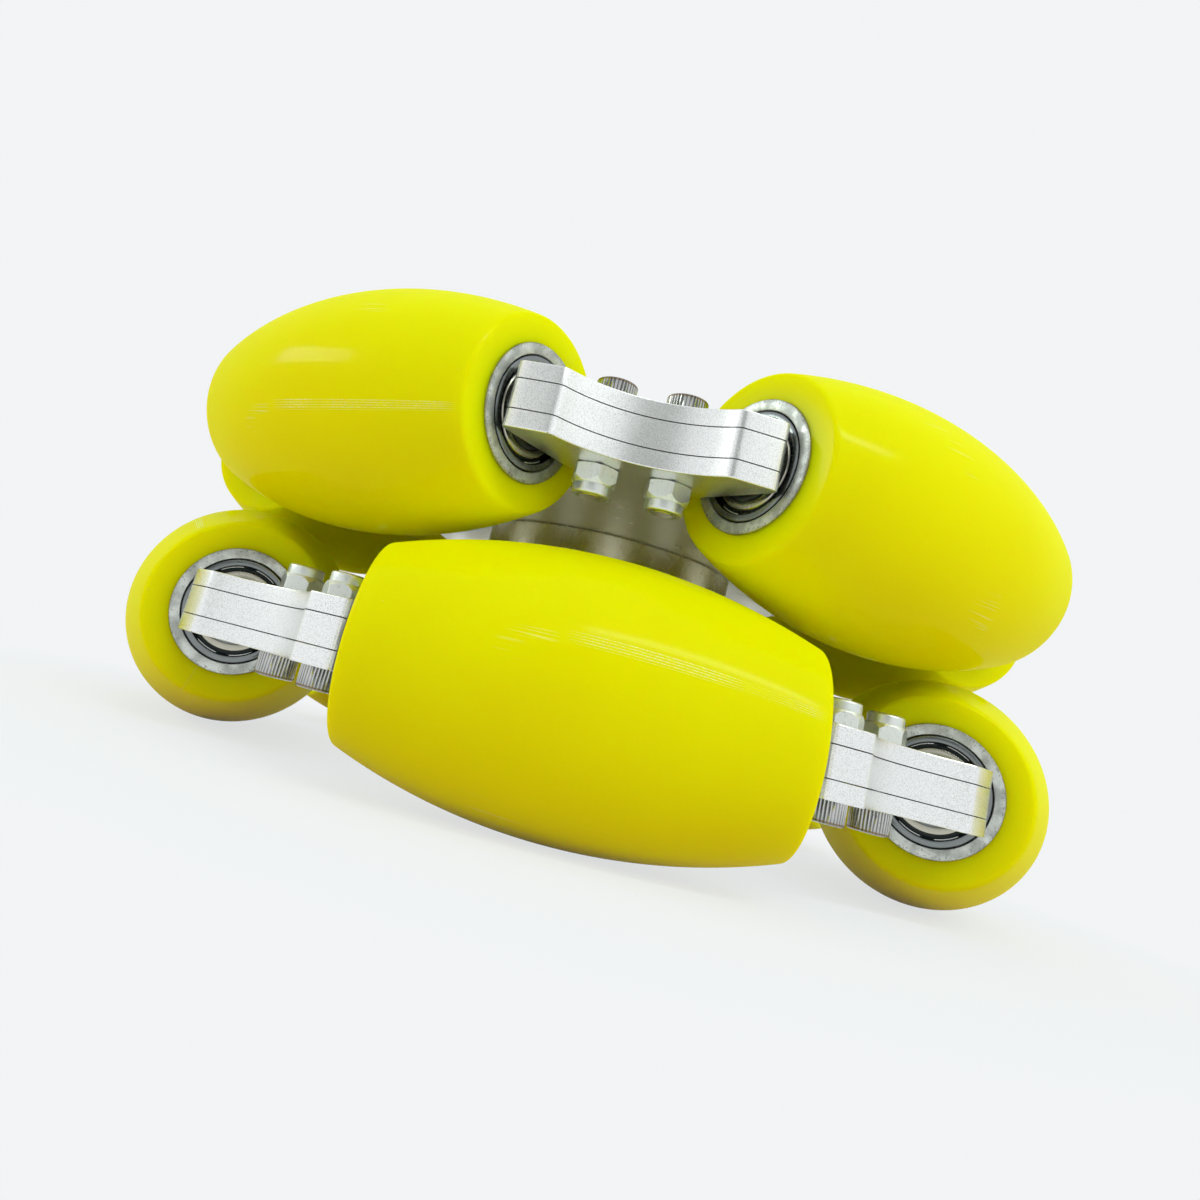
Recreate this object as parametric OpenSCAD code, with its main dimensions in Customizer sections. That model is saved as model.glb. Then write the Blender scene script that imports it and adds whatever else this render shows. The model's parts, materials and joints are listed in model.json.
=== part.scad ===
// Omni wheel: two rows of five barrel rollers round one hub, the rows half a pitch apart.
// The wheel's axis is Z and the origin is the wheel's centre. It lies on the rollers of its lower row.
// All lengths are in millimetres and all angles in degrees.

/* [Wheel] */
// Diameter of the circle that the rollers trace
wheel_d = 203; // [198:1:212]
// Distance between the middle planes of the two rows
row_spacing = 41.6; // [40.6:0.2:46]

/* [Roller] */
// Diameter of a tyre at its middle
tyre_d = 44.8; // [42:0.2:46]
// Length of a tyre
tyre_length = 70; // [65:0.5:71]
// Round on the rim at each end of a tyre
tyre_rim_round = 1; // [0.5:0.1:2]
// How far the core stands out of each end of its tyre
core_stand_out = 0.4; // [0.2:0.1:1]
// Wall of the core around a bearing seat
core_wall = 2; // [1.5:0.1:3]
// Height of the shoulder that each bearing is pressed against
core_shoulder = 1; // [0.6:0.1:1.3]
// Space between the core and the nearest face of a plate
end_gap = 1.2; // [1:0.1:2.5]

/* [Ball bearing] */
// Bore of a bearing
bearing_bore = 10; // [8:0.5:10.5]
// Outer diameter of a bearing
bearing_d = 19; // [18.5:0.5:21]
// Width of a bearing
bearing_width = 5; // [4.8:0.1:6]
// Diameter of a ball
ball_d = 2.4; // [2:0.1:2.6]
// Number of balls in a bearing
ball_count = 11; // [7:1:12]
// Depth of the groove that the balls run in
race_depth = 0.25; // [0.15:0.05:0.3]
// Thickness of a shield's sheet
shield_sheet = 0.2; // [0.15:0.05:0.25]
// How far a shield lies below the side of its bearing
shield_recess = 0.35; // [0.2:0.05:0.4]
// Width of the pressed channel round a shield's rim
shield_channel = 1; // [0.6:0.1:1.2]
// Depth of that channel
shield_channel_depth = 0.25; // [0.15:0.05:0.35]

/* [Axle] */
// Width of the flat tang on each end of an axle
tang_width = 8; // [6:0.25:8.5]
// Length of that tang
tang_length = 6; // [4.5:0.25:6.5]
// Height of the collar between the bearings
collar_height = 0.6; // [0.3:0.1:0.7]

/* [Star plates] */
// Thickness of the middle plate, which holds the tangs
middle_plate = 5; // [4:0.25:6]
// Thickness of the plate on each side of it
cover_plate = 3; // [2:0.25:4]
// How far the tips of the arms stay inside the wheel's circle
tip_inset = 6; // [5:0.1:9]
// Radius of the hollow in the tip of an arm
scallop_r = 20.2; // [18:0.2:26]
// Depth of that hollow
scallop_depth = 6.4; // [4.5:0.1:7]
// Round on the corners of an arm's tip
tip_round = 1.2; // [0.8:0.1:2.5]
// Space between a tyre and the edge of the plates behind it
pocket_gap = 3; // [2:0.25:4]
// Round in the inner corners of a pocket
pocket_round = 3; // [2:0.25:4]

/* [Arm screws] */
// Thread diameter of the two screws in each arm
screw_d = 4; // [3:0.5:4.5]
// Diameter of a screw's head
screw_head_d = 7; // [6:0.25:7.5]
// Height of a screw's head
screw_head_h = 4; // [3:0.25:5]
// Key size of the socket in a screw's head
screw_key = 3; // [2:0.25:3.5]
// Distance between the two screws of an arm
screw_pitch = 12; // [10:0.5:13]
// Distance of the screws from the bottom of the hollow
screw_setback = 7.7; // [6.5:0.1:10]
// Width of a lock nut across its flats
nut_flats = 7; // [6.5:0.25:8]
// Height of a lock nut
nut_h = 5; // [4:0.25:6]
// Height of the hexagon of a lock nut
nut_hex_h = 3.2; // [2.5:0.1:3.6]
// Diameter of the collar above the hexagon
nut_collar_d = 6.4; // [6:0.1:6.5]
// Thickness of the plastic insert in the collar
nut_insert_h = 1; // [0.7:0.1:1.2]

/* [Hub] */
// Diameter of the hub between the rows
hub_d = 60; // [56:1:70]
// Diameter of the spigots that carry the plates
spigot_d = 40; // [36:0.5:41]
// Diameter of the bore for the drive shaft
hub_bore = 20; // [16:0.5:22]
// Width of the keyway in the bore
keyway_width = 6; // [4:0.5:8]
// Depth of the keyway beyond the bore
keyway_depth = 2.8; // [1.8:0.1:3.4]
// Chamfer at each mouth of the bore
bore_chamfer = 0.6; // [0.3:0.1:1]
// Thread diameter of the screws that hold the plates to the hub
hub_screw_d = 5; // [4:0.5:5.5]
// Diameter of the circle that those screws lie on
hub_screw_circle = 50; // [49.5:0.25:51.5]
// Depth to which those screws go into the hub
hub_screw_grip = 9; // [7:0.5:12]
// Head diameter of a hub screw
hub_head_d = 8.5; // [7.5:0.25:9]
// Head height of a hub screw
hub_head_h = 5; // [4:0.25:6]
// Key size of the socket in a hub screw's head
hub_key = 4; // [3:0.25:4.5]
// Number of holes through the hub, tapped from both ends
flange_holes = 4; // [3:1:6]
// Diameter of those holes
flange_hole_d = 4.2; // [3.3:0.1:4.6]
// Diameter of the circle that those holes lie on
flange_circle = 31; // [30.5:0.25:33]

/* [Fits] */
// Clearance around a screw in a plate, on the radius
screw_clearance = 0.15; // [0.1:0.05:0.4]
// Clearance of a tang in its slot and of an axle's shoulder at a plate
tang_clearance = 0.1; // [0.05:0.05:0.2]
// Clearance between a ball and its races or cage
ball_clearance = 0.08; // [0.05:0.01:0.1]
// Running gap between a shield and the inner ring
shield_gap = 0.25; // [0.15:0.05:0.3]
// Gap that stands for a press fit, a bond or a thread
seat_gap = 0.02; // [0.01:0.01:0.04]

/* [Hidden] */
$fn = 96;
ROWS = ["lower", "upper"];
rollers_per_row = 5;

// How far a cutting shape runs past the face that it cuts, and past a line that it only touches
cut = 1;
eps = 0.01;
touch = 0.002;

// Wheel: radius of the circle, of the roller axes and of the tips, and the angle between two rollers
wheel_r = wheel_d / 2;
tyre_r = tyre_d / 2;
axle_circle_r = wheel_r - tyre_r;
tip_r = wheel_r - tip_inset;
pitch_angle = 360 / rollers_per_row;

// Stack of three plates, and the length of hub between the two stacks
stack = middle_plate + 2 * cover_plate;
hub_length = row_spacing - stack;

// Roller: half lengths of the tyre, the core and the pocket, measured from the roller's middle
tyre_half = tyre_length / 2;
core_half = tyre_half + core_stand_out;
pocket_half = core_half + end_gap;
core_r = bearing_d / 2 + core_wall;

// Bearing: radii from the bore outwards, and half its width. The inner ring's side shows inside the shield.
bore_r = bearing_bore / 2;
bearing_r = bearing_d / 2;
ball_r = ball_d / 2;
ball_circle_r = (bore_r + bearing_r) / 2;
race_r = ball_r + ball_clearance;
inner_land_r = ball_circle_r - ball_r + race_depth;
outer_land_r = ball_circle_r + ball_r - race_depth;
bearing_half = bearing_width / 2;
bearing_edge = 0.3;
inner_side = 1.1;
shield_inner_r = bore_r + inner_side;
inner_neck_r = shield_inner_r - shield_gap;
inner_neck_half = bearing_half - shield_recess - shield_sheet - shield_gap;
cage_wall = 0.8;
cage_back = bearing_half - shield_recess - shield_channel_depth - shield_sheet - ball_clearance;
cage_front = 0.5 * ball_r;
seat_r = bearing_r + seat_gap;
shoulder_r = bearing_r - core_shoulder;

// Axle: collar between the bearings, shoulders at the plates, tangs in the slots
collar_r = bore_r + collar_height;
collar_half = core_half - bearing_width;
axle_half = pocket_half - tang_clearance;

// Arm tips: the hollow's centre, and the line that the two screws lie on
scallop_centre = tip_r - scallop_depth + scallop_r;
screw_line = tip_r - scallop_depth - screw_setback;
screw_r = screw_d / 2;

// Lock nut: corners of the hexagon, and radii and height of the insert's seat under its lip
nut_corner_r = nut_flats / 2 / cos(30);
nut_wall = 0.45;
nut_lip = 0.3;
nut_insert_r = nut_collar_d / 2 - nut_wall;
nut_lip_r = nut_insert_r - nut_lip;
nut_insert_z = nut_h - nut_lip - nut_insert_h;

// ---- Places ----

// 1 for the upper row and -1 for the lower row
function side(row) = row == "upper" ? 1 : -1;

// Direction of roller k: the lower row's first roller faces -Y, and the upper row stands half a pitch on
function roller_angle(row, k) = -90 + (k - 1) * pitch_angle + (row == "upper" ? pitch_angle / 2 : 0);

// Height of a row's outer face
function outer_face(row) = side(row) * (row_spacing + stack) / 2;

// Puts a roller's own frame in place: its Z is the axle, its X points out of the wheel
module at_roller(row, k) {
    rotate([0, 0, roller_angle(row, k)])
        translate([axle_circle_r, 0, side(row) * row_spacing / 2])
            rotate([-90, 0, 0])
                children();
}

// Repeats its children in every arm of a row, with X along the arm
module in_each_arm(row) {
    for (k = [1:rollers_per_row])
        rotate([0, 0, roller_angle(row, k) + pitch_angle / 2])
            children();
}

// Repeats its children at both screws of every arm, on the row's outer face with Z pointing out of it
module at_arm_screws(row) {
    in_each_arm(row)
        for (hand = [-1, 1])
            translate([screw_line, hand * screw_pitch / 2, outer_face(row)])
                rotate([side(row) > 0 ? 0 : 180, 0, 0])
                    children();
}

// Repeats its children at the hub's screws of a row, in the same way
module at_hub_screws(row) {
    in_each_arm(row)
        translate([hub_screw_circle / 2, 0, outer_face(row)])
            rotate([side(row) > 0 ? 0 : 180, 0, 0])
                children();
}

// Repeats its children at both bearings of a roller, each with Z pointing out of the roller
module at_bearings() {
    for (end = [0, 1])
        mirror([0, 0, end])
            translate([0, 0, core_half - bearing_half])
                children();
}

// ---- Outlines ----

// What a round takes off the corner where the line x = edge meets a circle about [0, cy].
// The rounded shape lies inside both, and up is 1 for the upper corner and -1 for the lower one.
module corner_waste(edge, cy, circle_r, round_r, up) {
    reach = circle_r - round_r;
    centre = [edge - round_r, cy + up * sqrt(reach * reach - pow(edge - round_r, 2))];
    along = (centre - [0, cy]) / reach;
    on_circle = [0, cy] + circle_r * along;
    corner_y = on_circle[1] - (edge - on_circle[0]) * along[0] / along[1];
    difference() {
        polygon([centre, on_circle, [edge, corner_y], [edge, centre[1]]]);
        translate(centre)
            circle(r = round_r + touch);
    }
}

// Room for one roller in a plate. X points out of the wheel from its centre, Y is along the roller.
// Its inner edge is an arc that keeps the pocket gap to the tyre.
module pocket_outline() {
    far = 2 * axle_circle_r;
    bottom_r = wheel_r + pocket_gap;
    difference() {
        intersection() {
            translate([far, 0])
                circle(r = bottom_r);
            translate([0, -pocket_half])
                square([wheel_r + tip_inset, 2 * pocket_half]);
        }
        for (hand = [0, 1])
            mirror([0, hand])
                mirror([1, -1])
                    corner_waste(pocket_half, far, bottom_r, pocket_round, -1);
    }
}

// The rounds on the two tip corners beside one roller
module tip_waste() {
    for (hand = [0, 1])
        mirror([0, hand])
            mirror([1, -1])
                corner_waste(-pocket_half, 0, tip_r, tip_round, 1);
}

// A plate with five arms, seen from above
module star_outline(row) {
    difference() {
        circle(r = tip_r, $fn = 240);
        circle(r = spigot_d / 2 + seat_gap);
        for (k = [1:rollers_per_row])
            rotate(roller_angle(row, k)) {
                pocket_outline();
                tip_waste();
            }
        in_each_arm(row) {
            translate([scallop_centre, 0])
                circle(r = scallop_r);
            for (hand = [-1, 1])
                translate([screw_line, hand * screw_pitch / 2])
                    circle(r = screw_r + screw_clearance);
            translate([hub_screw_circle / 2, 0])
                circle(r = hub_screw_d / 2 + screw_clearance);
        }
    }
}

// ---- Hub and plates ----

// Solid of the hub: a drum between the rows and a spigot through each stack
module hub_blank() {
    cylinder(d = hub_d, h = hub_length, center = true);
    cylinder(d = spigot_d, h = row_spacing + stack, center = true);
}

module hub() {
    half = (row_spacing + stack) / 2;
    bore_half = hub_bore / 2;
    color("silver")
        difference() {
            hub_blank();
            cylinder(r = bore_half, h = 2 * (half + cut), center = true);
            translate([-keyway_width / 2, 0, -half - cut])
                cube([keyway_width, bore_half + keyway_depth, 2 * (half + cut)]);
            for (row = ROWS) {
                translate([0, 0, side(row) * half])
                    rotate([side(row) > 0 ? 0 : 180, 0, 0])
                        translate([0, 0, -bore_chamfer])
                            cylinder(r1 = bore_half, r2 = bore_half + bore_chamfer + eps,
                                     h = bore_chamfer + eps);
                at_hub_screws(row)
                    translate([0, 0, -stack - hub_screw_grip - cut])
                        cylinder(d = hub_screw_d + 2 * seat_gap, h = hub_screw_grip + 2 * cut);
            }
            for (k = [1:flange_holes])
                rotate([0, 0, (k - 0.5) * 360 / flange_holes])
                    translate([flange_circle / 2, 0, 0])
                        cylinder(d = flange_hole_d, h = 2 * (half + cut), center = true);
        }
}

// One of the two thin plates of a row, with its lower face at height z
module cover(row, z) {
    color("gainsboro")
        translate([0, 0, z])
            linear_extrude(cover_plate)
                star_outline(row);
}

module outer_plate(row) {
    cover(row, outer_face(row) - (side(row) > 0 ? cover_plate : 0));
}

module inner_plate(row) {
    inner_face = outer_face(row) - side(row) * stack;
    cover(row, inner_face - (side(row) > 0 ? 0 : cover_plate));
}

// The thick plate, with a slot for the tang of each axle
module middle_plate(row) {
    slot_width = tang_width + 2 * tang_clearance;
    slot_length = 2 * (pocket_half + tang_length);
    color("gainsboro")
        translate([0, 0, side(row) * row_spacing / 2 - middle_plate / 2])
            linear_extrude(middle_plate)
                difference() {
                    star_outline(row);
                    for (k = [1:rollers_per_row])
                        rotate(roller_angle(row, k))
                            translate([axle_circle_r, 0])
                                square([slot_width, slot_length], center = true);
                }
}

// ---- Roller ----

// The tyre's outer edge is an arc of the wheel's own circle, so ten rollers make one round wheel
module tyre_section() {
    inner_r = core_r + seat_gap;
    difference() {
        intersection() {
            translate([-axle_circle_r, 0])
                circle(r = wheel_r, $fn = 360);
            translate([inner_r, -tyre_half])
                square([tyre_r, tyre_length]);
        }
        for (end = [0, 1])
            mirror([0, end])
                mirror([1, -1])
                    corner_waste(tyre_half, -axle_circle_r, wheel_r, tyre_rim_round, 1);
    }
}

module tyre(row, k) {
    color("yellow")
        at_roller(row, k)
            rotate_extrude()
                tyre_section();
}

// Sleeve that the tyre is cast on, bored from both ends for the bearings
module core(row, k) {
    color("lightgray")
        at_roller(row, k)
            difference() {
                cylinder(r = core_r, h = 2 * core_half, center = true);
                cylinder(r = shoulder_r, h = 2 * (core_half + cut), center = true);
                for (end = [0, 1])
                    mirror([0, 0, end])
                        translate([0, 0, collar_half])
                            cylinder(r = seat_r, h = bearing_width + cut);
            }
}

// A ring of rectangular section with bevelled corners
module ring_section(inner_r, outer_r, half_width, bevel) {
    polygon([
        [inner_r + bevel, -half_width], [outer_r - bevel, -half_width],
        [outer_r, -half_width + bevel], [outer_r, half_width - bevel],
        [outer_r - bevel, half_width], [inner_r + bevel, half_width],
        [inner_r, half_width - bevel], [inner_r, -half_width + bevel]]);
}

module outer_ring() {
    rotate_extrude()
        difference() {
            ring_section(outer_land_r, bearing_r, bearing_half, bearing_edge);
            translate([ball_circle_r, 0])
                circle(r = race_r);
        }
}

// The inner ring is turned down beside its race, where the shields run
module inner_ring() {
    rotate_extrude()
        difference() {
            ring_section(bore_r + seat_gap, inner_land_r, bearing_half, bearing_edge);
            translate([ball_circle_r, 0])
                circle(r = race_r);
            for (end = [-1, 1])
                translate([inner_neck_r, end > 0 ? inner_neck_half : -bearing_half - cut])
                    square([inner_land_r, bearing_half - inner_neck_half + cut]);
        }
}

// Pressed sheet ring with a sunk channel round its rim
module shield() {
    rim_r = outer_land_r - seat_gap;
    step_r = rim_r - shield_channel;
    top = bearing_half - shield_recess;
    sunk = top - shield_channel_depth;
    rotate_extrude()
        polygon([
            [shield_inner_r, top], [shield_inner_r, top - shield_sheet],
            [step_r - shield_sheet, top - shield_sheet], [step_r - shield_sheet, sunk - shield_sheet],
            [rim_r, sunk - shield_sheet], [rim_r, sunk], [step_r, sunk], [step_r, top]]);
}

// What turns with the roller in its two bearings: the outer rings and the shields
module bearings(row, k) {
    color("slategray")
        at_roller(row, k)
            at_bearings() {
                outer_ring();
                for (face = [0, 1])
                    mirror([0, 0, face])
                        shield();
            }
}

// A crown with a round pocket for each ball, closed towards the middle of the roller
module cage() {
    difference() {
        rotate_extrude()
            translate([ball_circle_r - cage_wall / 2, -cage_back])
                square([cage_wall, cage_back + cage_front]);
        at_balls()
            sphere(r = race_r);
    }
}

module at_balls() {
    for (n = [1:ball_count])
        rotate([0, 0, n * 360 / ball_count])
            translate([ball_circle_r, 0, 0])
                children();
}

// The balls and cages of a roller's two bearings, which circle at their own speed
module balls(row, k) {
    color("dimgray")
        at_roller(row, k)
            at_bearings() {
                at_balls()
                    sphere(r = ball_r);
                cage();
            }
}

// ---- Axles and what stays still in the bearings ----

// A turned axle: collar between the bearings, a seat in each, and a milled tang on each end
module axle() {
    cylinder(r = collar_r, h = 2 * collar_half, center = true);
    cylinder(r = bore_r, h = 2 * axle_half, center = true);
    intersection() {
        cylinder(r = bore_r, h = 2 * (axle_half + tang_length), center = true);
        cube([tang_width, middle_plate, 2 * (axle_half + tang_length)], center = true);
    }
}

module axles(row) {
    color("darkgray")
        for (k = [1:rollers_per_row])
            at_roller(row, k)
                axle();
}

module bearing_inner_rings() {
    color("slategray")
        for (row = ROWS, k = [1:rollers_per_row])
            at_roller(row, k)
                at_bearings()
                    inner_ring();
}

// ---- Fasteners ----

// Cap screw standing on the plane z = 0 with its shank below
module cap_screw(thread_r, shank, head_r, head_h, key) {
    bevel = 0.08 * head_r;
    difference() {
        rotate_extrude()
            polygon([
                [0, -shank], [thread_r - bevel, -shank], [thread_r, -shank + bevel], [thread_r, 0],
                [head_r, 0], [head_r, head_h - bevel], [head_r - bevel, head_h], [0, head_h]]);
        translate([0, 0, head_h / 2])
            cylinder(d = key / cos(30), h = head_h, $fn = 6);
    }
}

module arm_screws() {
    color("silver")
        for (row = ROWS)
            at_arm_screws(row)
                cap_screw(screw_r, stack + nut_h, screw_head_d / 2, screw_head_h, screw_key);
}

// Half section of the hole through a lock nut, with the seat of its insert
module nut_hole_section() {
    translate([0, -cut])
        square([screw_r + seat_gap, nut_h + 2 * cut]);
    translate([0, nut_insert_z])
        square([nut_insert_r, nut_insert_h]);
    translate([0, nut_insert_z])
        square([nut_lip_r, nut_h]);
}

// Half section that bevels the corners of the hexagon, a little below and more above
module nut_bevel_section() {
    low = 0.3;
    high = 1.1;
    seat = nut_flats / 2 - 0.1;
    polygon([
        [0, 0], [seat, 0], [nut_corner_r, low], [nut_corner_r, nut_hex_h - high], [seat, nut_hex_h],
        [0, nut_hex_h]]);
}

// Half section of the collar that holds the insert
module nut_collar_section() {
    bevel = 0.5;
    collar_r = nut_collar_d / 2;
    polygon([
        [0, nut_hex_h / 2], [collar_r, nut_hex_h / 2], [collar_r, nut_h - 2 * bevel],
        [collar_r - bevel / 3, nut_h - bevel], [collar_r - bevel, nut_h], [0, nut_h]]);
}

// Lock nut with its seat on z = 0
module lock_nut() {
    difference() {
        union() {
            intersection() {
                cylinder(r = nut_corner_r, h = nut_hex_h, $fn = 6);
                rotate_extrude()
                    nut_bevel_section();
            }
            rotate_extrude()
                nut_collar_section();
        }
        rotate_extrude()
            nut_hole_section();
    }
}

// Repeats its children at every lock nut, with Z pointing away from the plate that it sits on
module at_lock_nuts(row) {
    at_arm_screws(row)
        translate([0, 0, -stack])
            rotate([180, 0, 0])
                children();
}

module lock_nuts() {
    color("lightsteelblue")
        for (row = ROWS)
            at_lock_nuts(row)
                lock_nut();
}

// Plastic ring that grips the thread
module lock_nut_inserts() {
    color("ivory")
        for (row = ROWS)
            at_lock_nuts(row)
                translate([0, 0, nut_insert_z + seat_gap])
                    difference() {
                        cylinder(r = nut_insert_r - seat_gap, h = nut_insert_h - 2 * seat_gap);
                        translate([0, 0, -cut])
                            cylinder(r = screw_r + seat_gap, h = nut_insert_h + 2 * cut);
                    }
}

module hub_screws() {
    color("silver")
        for (row = ROWS)
            at_hub_screws(row)
                cap_screw(hub_screw_d / 2, stack + hub_screw_grip, hub_head_d / 2, hub_head_h, hub_key);
}

// ---- Every node ----

hub();
for (row = ROWS) {
    outer_plate(row);
    middle_plate(row);
    inner_plate(row);
    axles(row);
    for (k = [1:rollers_per_row]) {
        tyre(row, k);
        core(row, k);
        bearings(row, k);
        balls(row, k);
    }
}
bearing_inner_rings();
arm_screws();
lock_nuts();
lock_nut_inserts();
hub_screws();
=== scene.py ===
"""Dresses the omni wheel: tyres, cores, shielded bearings, star plates, screws, lock nuts and hub.

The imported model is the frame. Every new piece takes its place from it and rides on one of its bodies.
"""
import json
import math
from contextlib import contextmanager

import bpy
from bpy.props import FloatProperty, FloatVectorProperty, IntProperty, PointerProperty
from mathutils import Matrix, Vector


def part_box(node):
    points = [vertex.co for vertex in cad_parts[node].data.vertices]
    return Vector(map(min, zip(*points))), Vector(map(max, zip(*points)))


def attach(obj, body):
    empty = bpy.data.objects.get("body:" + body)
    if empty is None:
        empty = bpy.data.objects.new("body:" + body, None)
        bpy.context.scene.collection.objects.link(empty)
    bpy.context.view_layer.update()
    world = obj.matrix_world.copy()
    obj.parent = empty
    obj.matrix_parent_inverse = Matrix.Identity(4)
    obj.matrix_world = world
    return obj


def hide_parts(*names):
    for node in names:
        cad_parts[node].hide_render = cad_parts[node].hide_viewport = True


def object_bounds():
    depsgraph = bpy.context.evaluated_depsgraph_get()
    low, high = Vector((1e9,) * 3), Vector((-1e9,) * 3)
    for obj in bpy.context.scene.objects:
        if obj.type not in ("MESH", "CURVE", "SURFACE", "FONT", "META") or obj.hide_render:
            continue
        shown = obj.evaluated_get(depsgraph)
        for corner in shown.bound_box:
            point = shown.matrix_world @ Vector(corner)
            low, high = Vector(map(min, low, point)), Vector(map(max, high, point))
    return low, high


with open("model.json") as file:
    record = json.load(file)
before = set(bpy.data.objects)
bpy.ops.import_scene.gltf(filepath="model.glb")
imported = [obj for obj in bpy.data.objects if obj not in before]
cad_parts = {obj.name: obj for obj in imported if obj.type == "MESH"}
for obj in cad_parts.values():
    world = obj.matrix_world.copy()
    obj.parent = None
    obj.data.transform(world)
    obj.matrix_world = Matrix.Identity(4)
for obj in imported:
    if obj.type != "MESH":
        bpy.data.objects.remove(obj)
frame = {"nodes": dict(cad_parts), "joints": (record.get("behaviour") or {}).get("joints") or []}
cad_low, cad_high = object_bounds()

bl_info = {
    "name": "Omni Wheel Dressing",
    "version": (1, 0, 0),
    "blender": (4, 5, 0),
    "location": "3D View > Sidebar > Omni Wheel",
    "description": "Models and finishes the visible pieces of a double-row omni wheel",
    "category": "Object",
}

MM = 0.001
ROWS = ("lower", "upper")
ROLLERS = 5
PITCH = math.tau / ROLLERS
WHEEL_BODY = "hub_and_plates"

# The gap between pieces that fit into each other, the reach within which two points are one, and
# the angle from which an edge is sharp and is broken.
FIT = 0.02 * MM
SAME_PLACE = 1e-7
SHARP = math.radians(50)

# Faces round the turned pieces and round the holes.
HUB_STEPS = 144
CORE_STEPS = 96
SPIGOT_HOLE_STEPS = 96
NUT_STEPS = 48
INSERT_STEPS = 36
TAPPED_HOLE_STEPS = 32
SCREW_HOLE_STEPS = 24

# A tyre's mould seam: half its width, the pitch of its lines, where along the tyre they start and
# how long they take to reach their full strength. Every roller is turned by its own angle. The
# lines are painted pale, partly as the real seam and partly as a painted highlight, so the angles
# and the start follow where the lamps' glints fall.
SEAM_HALF = 1.0 * MM
SEAM_PITCH = 0.42 * MM
SEAM_START = -4 * MM
SEAM_FADE = 5 * MM
SEAM_DEGREES = {"lower": (-19, 100, 190, 250, 310), "upper": (170, 60, 140, 220, 19)}

# The camera stands just above the floor, close to the wheel, and is a little rolled.
CAMERA_PLACE = (-0.00203, -0.22624, -0.02345)
CAMERA_YAW, CAMERA_PITCH, CAMERA_ROLL = 0.0594, -0.2267, 0.2535
CAMERA_LENS, CAMERA_SENSOR = 27.5, 36
CAMERA_SHIFT = (0.032, -0.090)
CAMERA_NEAR = 0.005

# The floor's shadow is full up to the first distance from the wheel's axis, and gone at the second.
SHADOW_REACH = (0.095, 0.16)
FLOOR_SIDE = 6
FLAG_PLACE = (-0.06, -0.5, 0.17)
FLAG_SIZE = (0.34, 0.24, 1)

# Each lamp's name, place, the direction of its length, its length and width, its power, and
# whether metal mirrors it. A large one isn't mirrored, so that bright metal doesn't clip to white.
LAMP_COLOUR = (0.90, 1.0, 0.96)
LAMPS = (
    ("front_bar", (0.37, -0.58, 0.68), (0.81, 0.32, -0.17), (0.85, 0.08), 2.7, True),
    ("right_bar", (0.88, -0.20, 0.43), (0.31, 0.63, -0.33), (0.75, 0.3), 0.8, False),
    ("left_bar", (-0.93, -0.10, 0.34), (0.1, -1.0, 0.0), (0.4, 0.14), 1.4, True),
    ("left_softbox", (-0.75, -0.50, 0.1), (0.0, 0.0, 1.0), (0.8, 0.8), 2.7, False),
    ("right_softbox", (0.80, -0.50, 0.1), (0.0, 0.0, 1.0), (0.8, 0.8), 2.9, False),
    ("top_softbox", (-0.1, 0.15, 1.0), (1.0, 0.0, 0.0), (1.2, 0.9), 2.3, False),
)


# ---- Sizes that the frame gives. The lower row's first roller faces -Y, with its axle along X. ----

def size_of(node):
    low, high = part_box(node)
    return high - low


TYRE_SIZE = size_of("lower_roller_1_tyre")
WHEEL_R = -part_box("lower_roller_1_tyre")[0].y
TYRE_R = TYRE_SIZE.z / 2
TYRE_HALF = TYRE_SIZE.x / 2
AXLE_CIRCLE_R = WHEEL_R - TYRE_R
CORE_SIZE = size_of("lower_roller_1_core")
CORE_R = CORE_SIZE.z / 2
CORE_HALF = CORE_SIZE.x / 2
BEARING_R = size_of("lower_roller_1_bearings").z / 2
HUB_SIZE = size_of("hub")
FLOOR_Z = cad_low.z


def rollers():
    """Every roller's row, its number and its body."""
    for row in ROWS:
        for number in range(1, ROLLERS + 1):
            yield row, number, f"{row}_roller_{number}"


def joint_of(row, number):
    """The joint that the roller spins on."""
    name = f"{row}_roller_{number}_spin"
    return next(j for j in frame["joints"] if j["name"] == name)


def roller_matrix(row, number):
    """A roller's own frame: Z is its axle and X points out of the wheel."""
    joint = joint_of(row, number)
    centre = Vector(joint["pos_m"])
    outward = Vector((centre.x, centre.y, 0)).normalized()
    axle = Vector(joint["axis"])
    across = axle.cross(outward)
    turn = Matrix((outward, across, axle)).transposed()
    return Matrix.Translation(centre) @ turn.to_4x4()


def row_turn(row):
    """Turns a shape whose first pocket lies along X to the row's first roller."""
    centre = joint_of(row, 1)["pos_m"]
    return Matrix.Rotation(math.atan2(centre[1], centre[0]), 4, "Z")


# ---- Sizes and colours that a user can change ----

def length(name, description, value):
    """A length property, whose default is given in millimetres."""
    return FloatProperty(name=name, description=description, default=value * MM, min=0.0,
                         precision=5, subtype="DISTANCE", unit="LENGTH")


def colour(name, description, value):
    return FloatVectorProperty(name=name, description=description, default=value, size=3,
                               min=0.0, max=1.0, subtype="COLOR")


def share(name, description, value):
    return FloatProperty(name=name, description=description, default=value, min=0.0, max=1.0,
                         subtype="FACTOR")


def count(name, description, value):
    return IntProperty(name=name, description=description, default=value, min=3)


class OmniRollerSizes(bpy.types.PropertyGroup):
    rim_round: length("Rim round", "Round on the rim at each end of a tyre", 1.0)
    steps: count("Steps", "Faces round a tyre", 144)
    arc_steps: count("Arc steps", "Faces along a tyre", 56)
    mouth_round: length("Mouth round", "Round on the core's inner edge, beside the bearing", 0.3)
    edge_round: length("Edge round", "Round on the core's outer edge", 0.22)
    shoulder: length("Shoulder", "Height of the shoulder behind a bearing", 1.0)


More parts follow.
